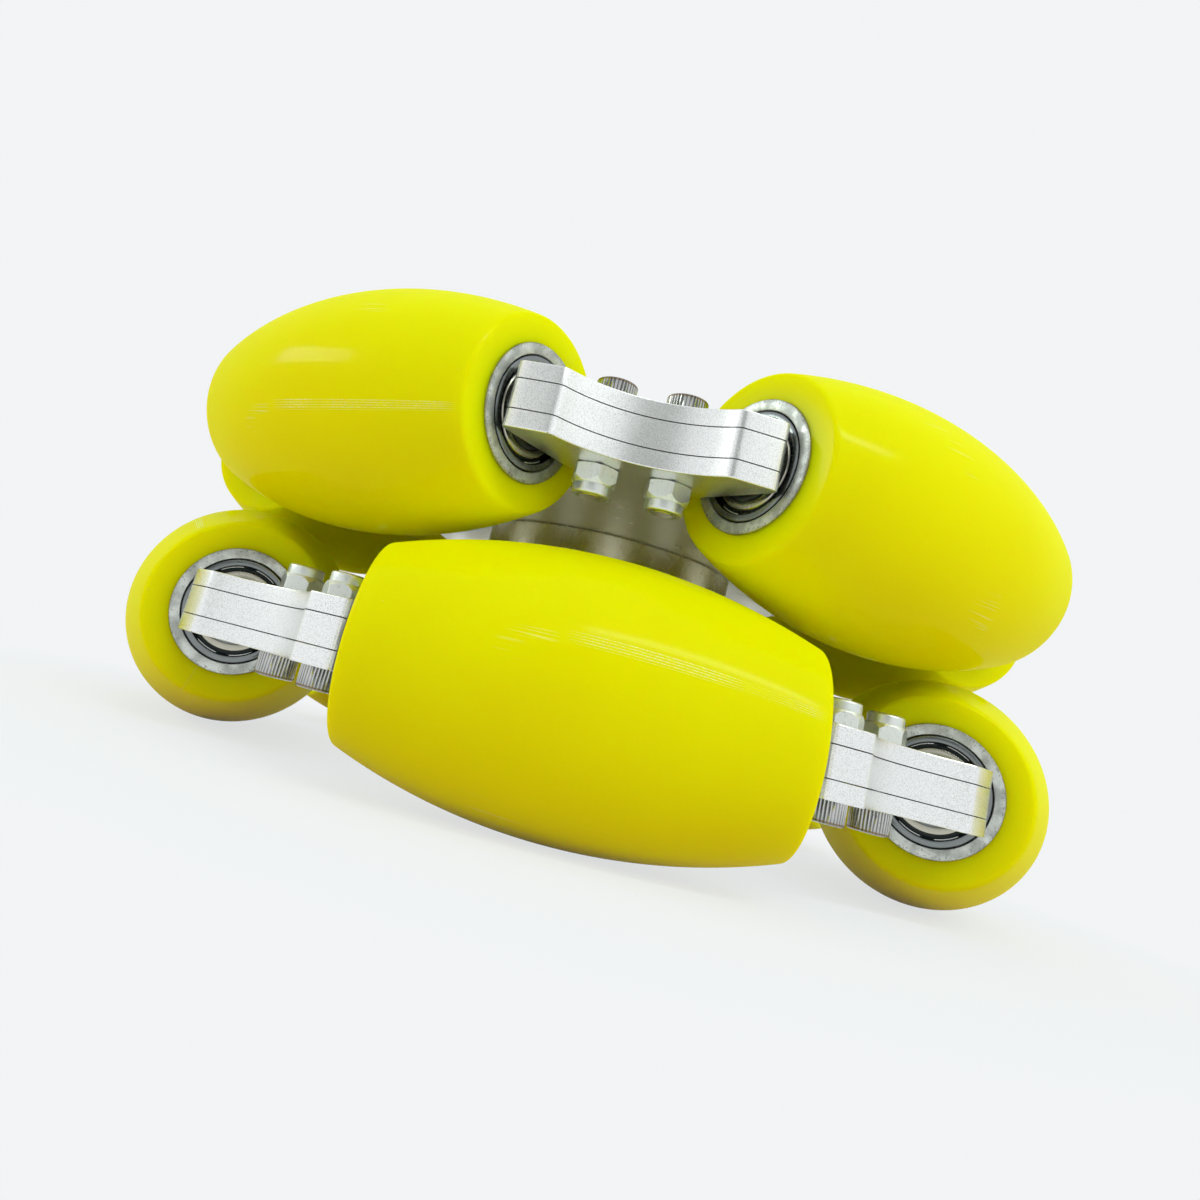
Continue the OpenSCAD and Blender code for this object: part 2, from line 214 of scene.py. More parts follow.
class OmniBearingSizes(bpy.types.PropertyGroup):
    width: length("Width", "Width of a bearing", 5.0)
    bore: length("Bore", "Radius of a bearing's bore", 5.0)
    ball: length("Ball", "Radius of the groove for the balls", 1.28)
    land: length("Land", "Depth of the land beside the groove", 1.3)
    edge_round: length("Edge round", "Round on the outer ring's outer edges", 0.4)
    shield_inner: length("Shield opening", "Radius of the opening in a shield", 6.1)
    shield_recess: length("Shield recess", "How far a shield lies below the side", 0.35)
    channel: length("Channel", "Width of the channel round a shield", 1.0)
    channel_depth: length("Channel depth", "Depth of that channel", 0.25)
    sheet: length("Sheet", "Thickness of a shield", 0.2)
    crimps: count("Crimps", "Marks of the press round a shield", 8)
    crimp_depth: length("Crimp depth", "Depth of those marks", 0.2)
    steps: count("Steps", "Faces round a bearing", 72)


class OmniPlateSizes(bpy.types.PropertyGroup):
    tip_r: length("Tip radius", "Radius of the arms' tips", 95.5)
    scallop_r: length("Scallop radius", "Radius of the hollow in a tip", 20.2)
    scallop_depth: length("Scallop depth", "Depth of that hollow", 6.4)
    tip_round: length("Tip round", "Round on the corners of a tip", 1.2)
    end_gap: length("End gap", "Space between a core and the plates", 1.2)
    pocket_gap: length("Pocket gap", "Space between a tyre and the plates behind it", 3.0)
    pocket_round: length("Pocket round", "Round in the corners of a pocket", 3.0)
    slot_width: length("Slot width", "Width of the slot for an axle's tang", 8.2)
    slot_depth: length("Slot depth", "Depth of that slot", 6.0)
    edge_bevel: length("Edge bevel", "Broken edge of each outer face of a stack", 0.22)
    joint_gap: length("Joint gap", "Shadow gap between two plates of a stack", 0.18)
    corner_soft: length("Corner soft", "Reach of the soft corner beside the hollow", 0.9)


class OmniFastenerSizes(bpy.types.PropertyGroup):
    arm_thread: length("Arm thread", "Radius of an arm screw's thread", 2.0)
    arm_head: length("Arm head", "Radius of an arm screw's head", 3.5)
    arm_head_height: length("Arm head height", "Height of an arm screw's head", 4.0)
    arm_key: length("Arm key", "Key size of an arm screw", 3.0)
    arm_line: length("Arm screw line", "Distance of the arm screws from the wheel's axis", 81.4)
    arm_pitch: length("Arm screw pitch", "Distance between the two screws of an arm", 12.0)
    hub_thread: length("Hub thread", "Radius of a hub screw's thread", 2.5)
    hub_head: length("Hub head", "Radius of a hub screw's head", 4.25)
    hub_head_height: length("Hub head height", "Height of a hub screw's head", 5.0)
    hub_key: length("Hub key", "Key size of a hub screw", 4.0)
    hub_circle: length("Hub screw circle", "Radius of the circle of hub screws", 25.0)
    hub_grip: length("Hub grip", "Depth of the hub screws in the hub", 9.0)
    clearance: length("Clearance", "Clearance round a screw", 0.15)
    ridges: count("Ridges", "Ridges of the knurl round a head", 36)
    ridge_depth: length("Ridge depth", "Depth of that knurl", 0.2)
    nut_flats: length("Nut flats", "Width of a lock nut across its flats", 7.0)
    nut_height: length("Nut height", "Height of a lock nut", 5.0)
    nut_hex: length("Nut hexagon", "Height of a lock nut's hexagon", 3.2)
    nut_collar: length("Nut collar", "Radius of a lock nut's collar", 3.2)
    insert_height: length("Insert height", "Thickness of the insert", 1.0)
    insert_wall: length("Insert wall", "Wall of the collar round the insert", 0.45)
    insert_lip: length("Insert lip", "Lip of the collar over the insert", 0.3)


class OmniHubSizes(bpy.types.PropertyGroup):
    spigot: length("Spigot", "Radius of the spigots that carry the plates", 20.0)
    bore: length("Bore", "Radius of the bore", 10.0)
    chamfer: length("Chamfer", "Chamfer at each mouth of the bore", 0.6)
    key_width: length("Key width", "Width of the keyway", 6.0)
    key_depth: length("Key depth", "Depth of the keyway beyond the bore", 2.8)
    hole: length("Tapped hole", "Radius of the holes through the hub, tapped from both ends", 2.1)
    hole_circle: length("Hole circle", "Radius of the circle of tapped holes", 15.5)
    holes: count("Holes", "Number of tapped holes", 4)
    edge_bevel: length("Edge bevel", "Broken edges of the hub", 0.3)


class OmniFinish(bpy.types.PropertyGroup):
    tyre: colour("Tyre", "Cast polyurethane", (0.88, 0.885, 0.0))
    tyre_deep: colour("Tyre, deep", "Where the cast polyurethane is denser", (0.87, 0.845, 0.0))
    # Pale seam lines, scratches and dust. On the seam lines and scratches this paleness is partly a
    # painted highlight.
    tyre_scuff_and_glint: colour("Tyre scuffs", "Scratched polyurethane", (1.0, 0.98, 0.42))
    plate: colour("Plates", "Bead-blasted aluminium", (0.95, 0.96, 0.955))
    plate_pit: colour("Plate pits", "Pits between the blasted beads", (0.60, 0.62, 0.60))
    # The hub's olive-yellow tint is a painted reflection of the yellow tyres, not the colour of the
    # aluminium.
    hub: colour("Hub", "Fine turned aluminium", (0.76, 0.72, 0.54))
    core: colour("Core", "Rough turned aluminium", (0.70, 0.73, 0.69))
    grime: colour("Grime", "Dirt and flash along a core's edge", (0.09, 0.08, 0.05))
    steel: colour("Bearing steel", "Ground bearing steel", (0.24, 0.26, 0.26))
    # Painted shade: the bearings' sunk channel, gaps and press marks, and the screws' knurl grooves and
    # head ends.
    groove: colour("Grooves", "Oily grooves of a bearing", (0.02, 0.025, 0.025))
    # The shield's olive tint is a painted reflection of the yellow tyres.
    shield: colour("Shield steel", "Pressed shield", (0.52, 0.50, 0.42))
    # Also a painted highlight on the rolled rim of a bearing's shield.
    bright: colour("Bright steel", "Stainless screws", (0.66, 0.67, 0.65))
    # A painted reflection: the brown line round the end of a screw's head.
    head_reflection: colour("Stain", "Brown line at the end of a head", (0.20, 0.12, 0.05))
    zinc: colour("Zinc", "Zinc-plated nuts", (0.76, 0.80, 0.76))
    insert: colour("Insert", "Nylon insert", (0.52, 0.50, 0.36))


class OmniStage(bpy.types.PropertyGroup):
    background: colour("Background", "Floor and backdrop", (0.888, 0.905, 0.913))
    fill: colour("Fill light", "The world's light on the object", (0.35, 0.355, 0.33))
    bounce: colour("Bounce", "Light that the floor throws back up", (0.74, 0.54, 0.36))
    floor: colour("Floor", "Paint of the floor", (0.87, 0.93, 0.97))
    flag: colour("Flag", "Dark card in front, which only reflections show", (0.26, 0.28, 0.26))
    shadow: share("Shadow", "How much of the object's shadow the floor shows", 0.24)


# ---- Plane geometry ----

def arc_points(centre, start, end, steps):
    """Points from start to end about a centre, the short way round."""
    centre, start, end = Vector(centre), Vector(start), Vector(end)
    first, last = start - centre, end - centre
    a, b = math.atan2(first.y, first.x), math.atan2(last.y, last.x)
    turn = (b - a + math.pi) % math.tau - math.pi
    angles = [a + turn * i / steps for i in range(steps + 1)]
    return [centre + first.length * Vector((math.cos(t), math.sin(t))) for t in angles]


def rounded(corners, steps=3):
    """A closed outline from corners (x, y, round), with an arc at every corner that has a round."""
    points = []
    for i, (x, y, radius) in enumerate(corners):
        here = Vector((x, y))
        if not radius:
            points.append(here)
            continue
        back = (Vector(corners[i - 1][:2]) - here).normalized()
        ahead = (Vector(corners[(i + 1) % len(corners)][:2]) - here).normalized()
        half = back.angle(ahead) / 2
        reach = radius / math.tan(half)
        centre = here + (back + ahead).normalized() * radius / math.sin(half)
        points += arc_points(centre, here + back * reach, here + ahead * reach, steps)
    return points


def soft_corner(start, corner, end, steps):
    """Points that leave start towards the corner and reach end, without touching the corner."""
    return [(1 - t) ** 2 * start + 2 * t * (1 - t) * corner + t ** 2 * end
            for t in (i / steps for i in range(steps + 1))]


def turned(point, angle):
    return Matrix.Rotation(angle, 2) @ Vector(point)


def mirrored(points):
    """The points on the other side of the X axis, in reverse order."""
    return [Vector((point.x, -point.y)) for point in reversed(points)]


# ---- Modelling by hand ----

def only(piece):
    """Makes a piece the one selected and active object."""
    bpy.ops.object.select_all(action="DESELECT")
    piece.select_set(True)
    bpy.context.view_layer.objects.active = piece


@contextmanager
def editing(piece, kind="VERT"):
    """Edits a piece with all of it selected, and leaves edit mode afterwards."""
    only(piece)
    bpy.ops.object.mode_set(mode="EDIT")
    bpy.ops.mesh.select_mode(type=kind)
    bpy.ops.mesh.select_all(action="SELECT")
    yield
    bpy.ops.object.mode_set(mode="OBJECT")


def select_points(piece, wanted):
    """In edit mode, selects the vertices whose place passes the test."""
    bpy.ops.mesh.select_all(action="DESELECT")
    bpy.ops.object.mode_set(mode="OBJECT")
    for vertex in piece.data.vertices:
        vertex.select = bool(wanted(vertex.co))
    bpy.ops.object.mode_set(mode="EDIT")


def merge_doubles():
    """In edit mode, makes one of the points that lie in the same place."""
    bpy.ops.mesh.select_all(action="SELECT")
    bpy.ops.mesh.remove_doubles(threshold=SAME_PLACE)


def add_piece(add, name, **settings):
    """A new primitive, which is the only selected object."""
    bpy.ops.object.select_all(action="DESELECT")
    add(**settings)
    piece = bpy.context.active_object
    piece.name = name
    return piece


def apply_place(piece):
    only(piece)
    bpy.ops.object.transform_apply(location=True, rotation=True, scale=True)


def draw_loop(name, points):
    """One vertex, extruded from point to point in space and joined up."""
    piece = add_piece(bpy.ops.mesh.primitive_plane_add, name, size=MM, location=(0, 0, 0))
    with editing(piece):
        bpy.ops.mesh.merge(type="CENTER")
        bpy.ops.transform.translate(value=points[0])
        for here, there in zip(points, points[1:] + points[:1]):
            bpy.ops.mesh.extrude_region_move(TRANSFORM_OT_translate={"value": there - here})
        merge_doubles()
    return piece


def spin_section(name, section, steps):
    """Turns a closed section, given as (radius, height), about the Z axis."""
    piece = draw_loop(name, [Vector((p[0], 0, p[1])) for p in section])
    with editing(piece):
        bpy.ops.mesh.spin(steps=steps, angle=math.tau, center=(0, 0, 0), axis=(0, 0, 1))
        merge_doubles()
        bpy.ops.mesh.normals_make_consistent(inside=False)
    return piece


def raise_outline(name, outline, low, high, holes=()):
    """A plate between two heights, from its outline and its round holes (x, y, radius, sides)."""
    piece = draw_loop(name, [Vector((p[0], p[1], low)) for p in outline])
    with editing(piece):
        for x, y, radius, sides in holes:
            bpy.ops.mesh.primitive_circle_add(vertices=sides, radius=radius, location=(x, y, low))
        bpy.ops.mesh.select_all(action="SELECT")
        bpy.ops.mesh.fill()
        bpy.ops.mesh.extrude_region_move(TRANSFORM_OT_translate={"value": (0, 0, high - low)})
        bpy.ops.mesh.select_all(action="SELECT")
        bpy.ops.mesh.normals_make_consistent(inside=False)
    return piece


def cylinder(name, radius, low, high, sides, place=(0, 0)):
    piece = add_piece(bpy.ops.mesh.primitive_cylinder_add, name, vertices=sides, radius=radius,
                      depth=high - low, location=(place[0], place[1], (low + high) / 2))
    apply_place(piece)
    return piece


def apply_modifier(piece, kind, **settings):
    only(piece)
    modifier = piece.modifiers.new("step", kind)
    for key, value in settings.items():
        setattr(modifier, key, value)
    bpy.ops.object.modifier_apply(modifier=modifier.name)


def combine(piece, tool, operation):
    """Cuts, joins or meets a piece with another, which is used up."""
    apply_modifier(piece, "BOOLEAN", operation=operation, solver="EXACT", object=tool)
    bpy.data.objects.remove(tool)


def break_edges(piece, width, segments):
    """Breaks all sharp edges."""
    apply_modifier(piece, "BEVEL", width=width, segments=segments, limit_method="ANGLE",
                   angle_limit=SHARP, use_clamp_overlap=False)


def break_face_edges(piece, height, width):
    """Breaks the sharp edges that lie at one height."""
    near = 0.001 * MM
    with editing(piece, "EDGE"):
        bpy.ops.mesh.select_all(action="DESELECT")
        bpy.ops.mesh.edges_select_sharp(sharpness=SHARP)
    points = piece.data.vertices
    weights = piece.data.attributes.new("bevel_weight_edge", "FLOAT", "EDGE")
    for edge in piece.data.edges:
        flat = all(abs(points[i].co.z - height) < near for i in edge.vertices)
        weights.data[edge.index].value = 1.0 if flat and edge.select else 0.0
    apply_modifier(piece, "BEVEL", width=width, segments=2, limit_method="WEIGHT",
                   use_clamp_overlap=False)


def smooth(piece, angle=30):
    """Shades a piece smooth, except at edges sharper than the angle in degrees."""
    only(piece)
    bpy.ops.object.shade_smooth_by_angle(angle=math.radians(angle))


def merge_pieces(pieces, name):
    """Joins pieces into the first of them."""
    only(pieces[0])
    for piece in pieces:
        piece.select_set(True)
    bpy.ops.object.join()
    pieces[0].name = name
    return pieces[0]


def copy_to(piece, name, matrix):
    """A copy with its own mesh, placed in that mesh."""
    twin = bpy.data.objects.new(name, piece.data.copy())
    bpy.context.scene.collection.objects.link(twin)
    twin.data.transform(matrix)
    if matrix.determinant() < 0:
        twin.data.flip_normals()
    return twin


def copies(piece, name, matrices):
    """One piece made of copies of a model, which is used up."""
    made = [copy_to(piece, f"{name}_{i}", matrix) for i, matrix in enumerate(matrices)]
    bpy.data.objects.remove(piece)
    return merge_pieces(made, name)


def lay_map(piece, name, across=1.0, along=1.0):
    """A map in which X is a point's distance from the axis and Y its height, each in its own unit."""
    layer = piece.data.uv_layers.new(name=name)
    for loop in piece.data.loops:
        place = piece.data.vertices[loop.vertex_index].co
        layer.data[loop.index].uv = (place.xy.length / across, place.z / along)


def give_material(piece, name):
    piece.data.materials.clear()
    piece.data.materials.append(bpy.data.materials[name])


def finish_piece(piece, material, slot, body, *nodes):
    """Gives a piece its material and its body, and hides the frame's nodes that it stands for."""
    give_material(piece, material)
    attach(piece, body)
    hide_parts(*nodes)


# ---- Shader nodes ----

def feed(tree, sockets, inputs):
    """Gives each socket its link or its value."""
    for key, value in inputs.items():
        if isinstance(value, bpy.types.NodeSocket):
            tree.links.new(value, sockets[key])
        else:
            sockets[key].default_value = value


def add_node(tree, kind, inputs=None, **settings):
    """A node with its settings, and its inputs from sockets or values."""
    node = tree.nodes.new(kind)
    for key, value in settings.items():
        setattr(node, key, value)
    feed(tree, node.inputs, inputs or {})
    return node


def use_group(tree, name, **inputs):
    """The outputs of a group that is placed in a material with its own values."""
    return add_node(tree, "ShaderNodeGroup", inputs, node_tree=bpy.data.node_groups[name]).outputs


def new_group(name, values, outputs):
    """An empty group that reads a place and some values, with its inputs and outputs."""
    tree = bpy.data.node_groups.new(name, "ShaderNodeTree")
    tree.interface.new_socket("Place", in_out="INPUT", socket_type="NodeSocketVector")
    for label, value in values.items():
        socket = tree.interface.new_socket(label, in_out="INPUT", socket_type="NodeSocketFloat")
        socket.default_value = value
    for label in outputs:
        tree.interface.new_socket(label, in_out="OUTPUT", socket_type="NodeSocketFloat")
    return tree, tree.nodes.new("NodeGroupInput").outputs, tree.nodes.new("NodeGroupOutput").inputs


def math_node(tree, operation, a, b=0.0, clamp=False):
    node = add_node(tree, "ShaderNodeMath", {0: a, 1: b}, operation=operation, use_clamp=clamp)
    return node.outputs[0]


def times(tree, *factors):
    """The product of sockets and values."""
    product = factors[0]
    for factor in factors[1:]:
        product = math_node(tree, "MULTIPLY", product, factor)
    return product


def plus(tree, a, b):
    return math_node(tree, "ADD", a, b)


def larger(tree, a, b):
    return math_node(tree, "MAXIMUM", a, b)


def between(tree, value, low, high, to_low=0.0, to_high=1.0):
    """Goes from one value to another while the input goes from low to high."""
    node = add_node(tree, "ShaderNodeMapRange", {"Value": value, "From Min": low, "From Max": high,
                                                 "To Min": to_low, "To Max": to_high})
    return node.outputs["Result"]


def mix_colour(tree, factor, a, b):
    node = add_node(tree, "ShaderNodeMix", data_type="RGBA")
    sockets = {socket.identifier: socket for socket in node.inputs}
    feed(tree, sockets, {"Factor_Float": factor, "A_Color": a, "B_Color": b})
    return next(socket for socket in node.outputs if socket.identifier == "Result_Color")


def noise(tree, place, scale, detail, roughness=0.5):
    node = add_node(tree, "ShaderNodeTexNoise", {"Vector": place, "Scale": scale, "Detail": detail,
                                                 "Roughness": roughness})
    return node.outputs["Fac"]


def own_map(tree, name):
    """The points of a map that the piece carries."""
    return add_node(tree, "ShaderNodeUVMap", uv_map=name).outputs[0]


def parts_of(tree, point):
    return add_node(tree, "ShaderNodeSeparateXYZ", {0: point}).outputs


def build_pits_group():
    """Speckle of a blasted or cast face: a mask of pits and a height."""
    tree, given, out = new_group("Pits", {"Scale": 3000.0, "Amount": 0.5}, ("Mask", "Height"))
    grain = noise(tree, given["Place"], given["Scale"], 3.0, 0.6)
    low = math_node(tree, "SUBTRACT", given["Amount"], 0.12)
    feed(tree, out, {"Mask": between(tree, grain, low, given["Amount"], 1.0, 0.0), "Height": grain})


def build_marks_group():
    """Fine lines along one axis of the place, in scattered patches: a mask of the lines."""
    tree, given, out = new_group(
        "Marks", {"Across": 900.0, "Along": 40.0, "Patch": 60.0, "Amount": 0.6}, ("Mask",))
    scale = add_node(tree, "ShaderNodeCombineXYZ", {"X": given["Across"], "Y": given["Along"],
                                                    "Z": given["Along"]}).outputs[0]
    stretched = add_node(tree, "ShaderNodeVectorMath", {0: given["Place"], 1: scale},
                         operation="MULTIPLY").outputs[0]
    lines = between(tree, noise(tree, stretched, 1.0, 1.0), 0.60, 0.68)
    high = plus(tree, given["Amount"], 0.06)
    patches = between(tree, noise(tree, given["Place"], given["Patch"], 1.0), given["Amount"], high)
    feed(tree, out, {"Mask": times(tree, lines, patches)})


def build_clouds_group():
    """Slow change over a face: a value round one half."""
    tree, given, out = new_group("Clouds", {"Scale": 60.0}, ("Value",))
    feed(tree, out, {"Value": noise(tree, given["Place"], given["Scale"], 2.0, 0.45)})


# ---- Finishes ----

def new_material(name, **sockets):
    """A material's nodes, the inputs of its Principled BSDF with their constants, and the place."""
    material = bpy.data.materials.new(name)
    material.use_nodes = True
    tree = material.node_tree
    shader = tree.nodes["Principled BSDF"].inputs
    feed(tree, shader, {key.replace("_", " "): value for key, value in sockets.items()})
    place = add_node(tree, "ShaderNodeTexCoord").outputs["Object"]
    return tree, shader, place


def rgba(tint, strength=1.0):
    """A colour for a socket, which a strength below one makes darker."""
    return (*(strength * part for part in tint), 1.0)


def put_bump(tree, shader, height, distance, strength=0.5):
    bump = add_node(tree, "ShaderNodeBump", {"Height": height, "Distance": distance,
                                             "Strength": strength})
    feed(tree, shader, {"Normal": bump.outputs["Normal"]})


def seam_and_glint_mask(tree, around, place):
    """Fine dotted lines beside a mould's seam, which fade here and there along the tyre. Their pale
    colour is partly the real seam and partly a painted highlight.
    """
    parts = parts_of(tree, around)
    across, along = parts["X"], parts["Y"]
    aside = math_node(tree, "ABSOLUTE", across)
    strip = between(tree, aside, SEAM_HALF, 0.8 * SEAM_HALF)
    wave = math_node(tree, "SINE", times(tree, across, math.tau / SEAM_PITCH))
    lines = between(tree, wave, 0.35, 0.8)
    dots = between(tree, noise(tree, around, 2400.0, 0.0), 0.42, 0.56, 0.4, 1.0)
    start = between(tree, along, SEAM_START, SEAM_START + SEAM_FADE)
    end = between(tree, along, TYRE_HALF - MM, TYRE_HALF - 3 * MM)
    worn = between(tree, noise(tree, place, 70.0, 1.0), 0.36, 0.52, 0.2, 1.0)
    return times(tree, strip, lines, dots, start, end, worn)


def tyre_material(look):
    """Cast polyurethane: glossy and a little see-through, with seam lines, fine scratches and dust. The
    seam lines and scratches are painted pale, partly as real marks and partly as a painted highlight.
    """
    tree, shader, place = new_material(
        "cast_polyurethane", IOR=1.5, Specular_IOR_Level=0.0, Coat_Weight=0.1, Coat_Roughness=0.12,
        Subsurface_Weight=0.7, Subsurface_Radius=(1.0, 0.55, 0.03), Subsurface_Scale=11 * MM)
    around = own_map(tree, "round_and_along")
    clouds = use_group(tree, "Clouds", Place=place, Scale=38.0)["Value"]
    body = mix_colour(tree, between(tree, clouds, 0.35, 0.65), rgba(look.tyre), rgba(look.tyre_deep))
    lines = seam_and_glint_mask(tree, around, place)
    scratches = use_group(tree, "Marks", Place=around, Across=2600.0, Along=60.0, Patch=45.0,
                          Amount=0.66)["Mask"]
    dust = use_group(tree, "Pits", Place=place, Scale=900.0, Amount=0.25)["Mask"]
    # Seam lines, scratches and dust, painted pale. The seam and scratch lines are partly a painted
    # highlight.
    marks = larger(tree, lines, larger(tree, times(tree, scratches, 0.4), dust))
    gloss = between(tree, clouds, 0.3, 0.7, 0.26, 0.36)
    feed(tree, shader, {"Base Color": mix_colour(tree, marks, body, rgba(look.tyre_scuff_and_glint)),
                        "Roughness": plus(tree, gloss, times(tree, marks, 0.2))})
    fine = noise(tree, place, 500.0, 2.0)
    put_bump(tree, shader, plus(tree, times(tree, fine, 0.05), lines), 0.04 * MM, 0.6)


def blasted_material(look):
    """Bead-blasted aluminium: bright, with a speckle of small pits."""
    tree, shader, place = new_material("blasted_aluminium", Metallic=1.0)
    pits = use_group(tree, "Pits", Place=place, Scale=6000.0, Amount=0.53)
    clouds = use_group(tree, "Clouds", Place=place, Scale=90.0)["Value"]
    mask = times(tree, pits["Mask"], 0.7)
    feed(tree, shader, {"Base Color": mix_colour(tree, mask, rgba(look.plate), rgba(look.plate_pit)),
                        "Roughness": between(tree, clouds, 0.3, 0.7, 0.27, 0.35)})
    put_bump(tree, shader, pits["Height"], 0.05 * MM)


def metal_material(name, tint, rough_low, rough_high, grain, bump, marks=0.0):
    """Plain metal with clouds in its gloss, a fine grain and faint scratches."""
    tree, shader, place = new_material(name, Metallic=1.0)
    clouds = use_group(tree, "Clouds", Place=place, Scale=220.0)["Value"]
    pits = use_group(tree, "Pits", Place=place, Scale=grain, Amount=0.42)
    lines = use_group(tree, "Marks", Place=place, Across=3000.0, Along=150.0, Patch=160.0,
                      Amount=0.52)["Mask"]
    wear = math_node(tree, "ADD", times(tree, pits["Mask"], 0.6), times(tree, lines, marks), clamp=True)
    feed(tree, shader, {"Base Color": mix_colour(tree, wear, rgba(tint), rgba(tint, 0.6)),
                        "Roughness": between(tree, clouds, 0.3, 0.7, rough_low, rough_high)})
    put_bump(tree, shader, pits["Height"], bump)


def core_material(look):
    """Rough turned aluminium, with grime and flash along its outer edge."""
    tree, shader, place = new_material("rough_turned_aluminium", Metallic=1.0)
    radius = parts_of(tree, own_map(tree, "from_the_axle"))["X"]
    blots = noise(tree, place, 2600.0, 2.0)
    ragged = plus(tree, radius, times(tree, blots, 1.6 * MM))
    rim = between(tree, ragged, CORE_R + 0.62 * MM, CORE_R + 0.92 * MM, 0.0, 0.55)
    denser = between(tree, radius, CORE_R - 0.9 * MM, CORE_R, 0.41, 0.53)
    specks = use_group(tree, "Pits", Place=place, Scale=2600.0, Amount=denser)["Mask"]
    clouds = use_group(tree, "Clouds", Place=place, Scale=420.0)["Value"]
    dull = between(tree, clouds, 0.38, 0.62)
    face = mix_colour(tree, dull, rgba(look.core), rgba(look.core, 0.64))
    dirt = larger(tree, rim, times(tree, specks, 0.6))
    feed(tree, shader, {"Base Color": mix_colour(tree, dirt, face, rgba(look.grime)),
                        "Roughness": between(tree, clouds, 0.3, 0.7, 0.36, 0.55)})
    put_bump(tree, shader, blots, 0.08 * MM, 0.6)


def bearing_bands(tree, radius, look):
    """The colours of a bearing's side, from its bore out to its edge: painted shade in the sunk channel
    and the gaps, a painted highlight on the rolled rim, and the shield's olive tint, which is a painted
    reflection of the yellow tyres.
    """
    # The dark bands are painted shade in the sunk channel and the gaps. The bright band from 8.0 to 8.1
    # is a painted highlight on the rolled rim.
    bands = ((6.0, look.shield), (7.25, look.shield), (7.4, look.groove), (7.9, look.groove),
             (8.0, look.bright), (8.1, look.bright), (8.16, look.groove), (8.3, look.groove),
             (8.4, look.steel), (9.2, look.steel), (9.38, look.groove), (10.0, look.groove))
    first, last = bands[0][0], bands[-1][0]
    share_of_way = between(tree, radius, first * MM, last * MM)
    ramp = add_node(tree, "ShaderNodeValToRGB", {"Fac": share_of_way})
    points = ramp.color_ramp.elements
    while len(points) < len(bands):
        points.new(1.0)
    for point, (distance, tint) in zip(points, bands):
        point.position = (distance - first) / (last - first)
        point.color = rgba(tint)
    return ramp.outputs["Color"]


def bearing_material(look):
    """Ground ring, painted shade in the sunk channel, the gaps and the press marks, a painted highlight
    on the rolled rim of a shield, and its inner face, whose olive tint is a painted reflection of the
    yellow tyres.
    """
    tree, shader, place = new_material("shielded_bearing", Metallic=1.0)
    parts = parts_of(tree, own_map(tree, "from_the_axle"))
    radius = parts["X"]
    clouds = use_group(tree, "Clouds", Place=place, Scale=500.0)["Value"]
    wander = times(tree, math_node(tree, "SUBTRACT", clouds, 0.5), 0.12 * MM)
    bands = bearing_bands(tree, plus(tree, radius, wander), look)
    on_roll = times(tree, between(tree, radius, 7.9 * MM, 7.95 * MM),
                    between(tree, radius, 8.2 * MM, 8.15 * MM))
    side = math_node(tree, "ABSOLUTE", parts["Y"])
    # Painted shade in the press marks of the rim.
    pressed = times(tree, on_roll, between(tree, side, 2.05 * MM, 1.98 * MM))
    pits = use_group(tree, "Pits", Place=place, Scale=3000.0, Amount=0.4)
    rough = between(tree, clouds, 0.3, 0.7, 0.2, 0.32)
    feed(tree, shader, {"Base Color": mix_colour(tree, pressed, bands, rgba(look.groove)),
                        "Roughness": plus(tree, rough, times(tree, pits["Mask"], 0.1))})
    put_bump(tree, shader, pits["Height"], 0.004 * MM)


def screw_material(look):
    """Bright stainless steel, with painted shade in the knurl's grooves and towards the end of a head,
    and a brown painted reflection round the end of a head.
    """
    tree, shader, place = new_material("stainless_steel", Metallic=1.0)
    parts = parts_of(tree, own_map(tree, "head_share"))
    reach, along = parts["X"], parts["Y"]
    outer = between(tree, reach, 0.925, 0.935)
    groove = times(tree, outer, between(tree, reach, 0.985, 0.955))
    clouds = use_group(tree, "Clouds", Place=place, Scale=300.0)["Value"]
    # Painted shade in the knurl's grooves, varying in strength.
    groove_shade = times(tree, groove, between(tree, clouds, 0.3, 0.6, 0.45, 0.85))
    # Painted shade, darker towards the end of a head.
    end_shade = times(tree, outer, between(tree, along, 0.35, 0.9, 0.0, 0.3))
    # A brown painted reflection round the end of a head.
    line = times(tree, between(tree, along, 0.86, 0.89, 0.0, 0.8), between(tree, along, 0.96, 0.93))
    pits = use_group(tree, "Pits", Place=place, Scale=2500.0, Amount=0.42)
    # Painted shade in the grooves and at the end, together with the real pits.
    dull = larger(tree, larger(tree, groove_shade, end_shade), times(tree, pits["Mask"], 0.4))
    skin = mix_colour(tree, dull, rgba(look.bright), rgba(look.groove))
    reflected_line = times(tree, line, outer)
    feed(tree, shader, {"Base Color": mix_colour(tree, reflected_line, skin, rgba(look.head_reflection)),
                        "Roughness": between(tree, clouds, 0.3, 0.7, 0.14, 0.24)})
    put_bump(tree, shader, pits["Height"], 0.008 * MM)


def insert_material(look):
    """Natural nylon, slightly waxy."""
    tree, shader, place = new_material("natural_nylon", Roughness=0.45,
                                                 Subsurface_Weight=0.2, Subsurface_Scale=0.5 * MM)
    clouds = use_group(tree, "Clouds", Place=place, Scale=900.0)["Value"]
    feed(tree, shader, {
        "Base Color": mix_colour(tree, clouds, rgba(look.insert), rgba(look.insert, 0.75))})


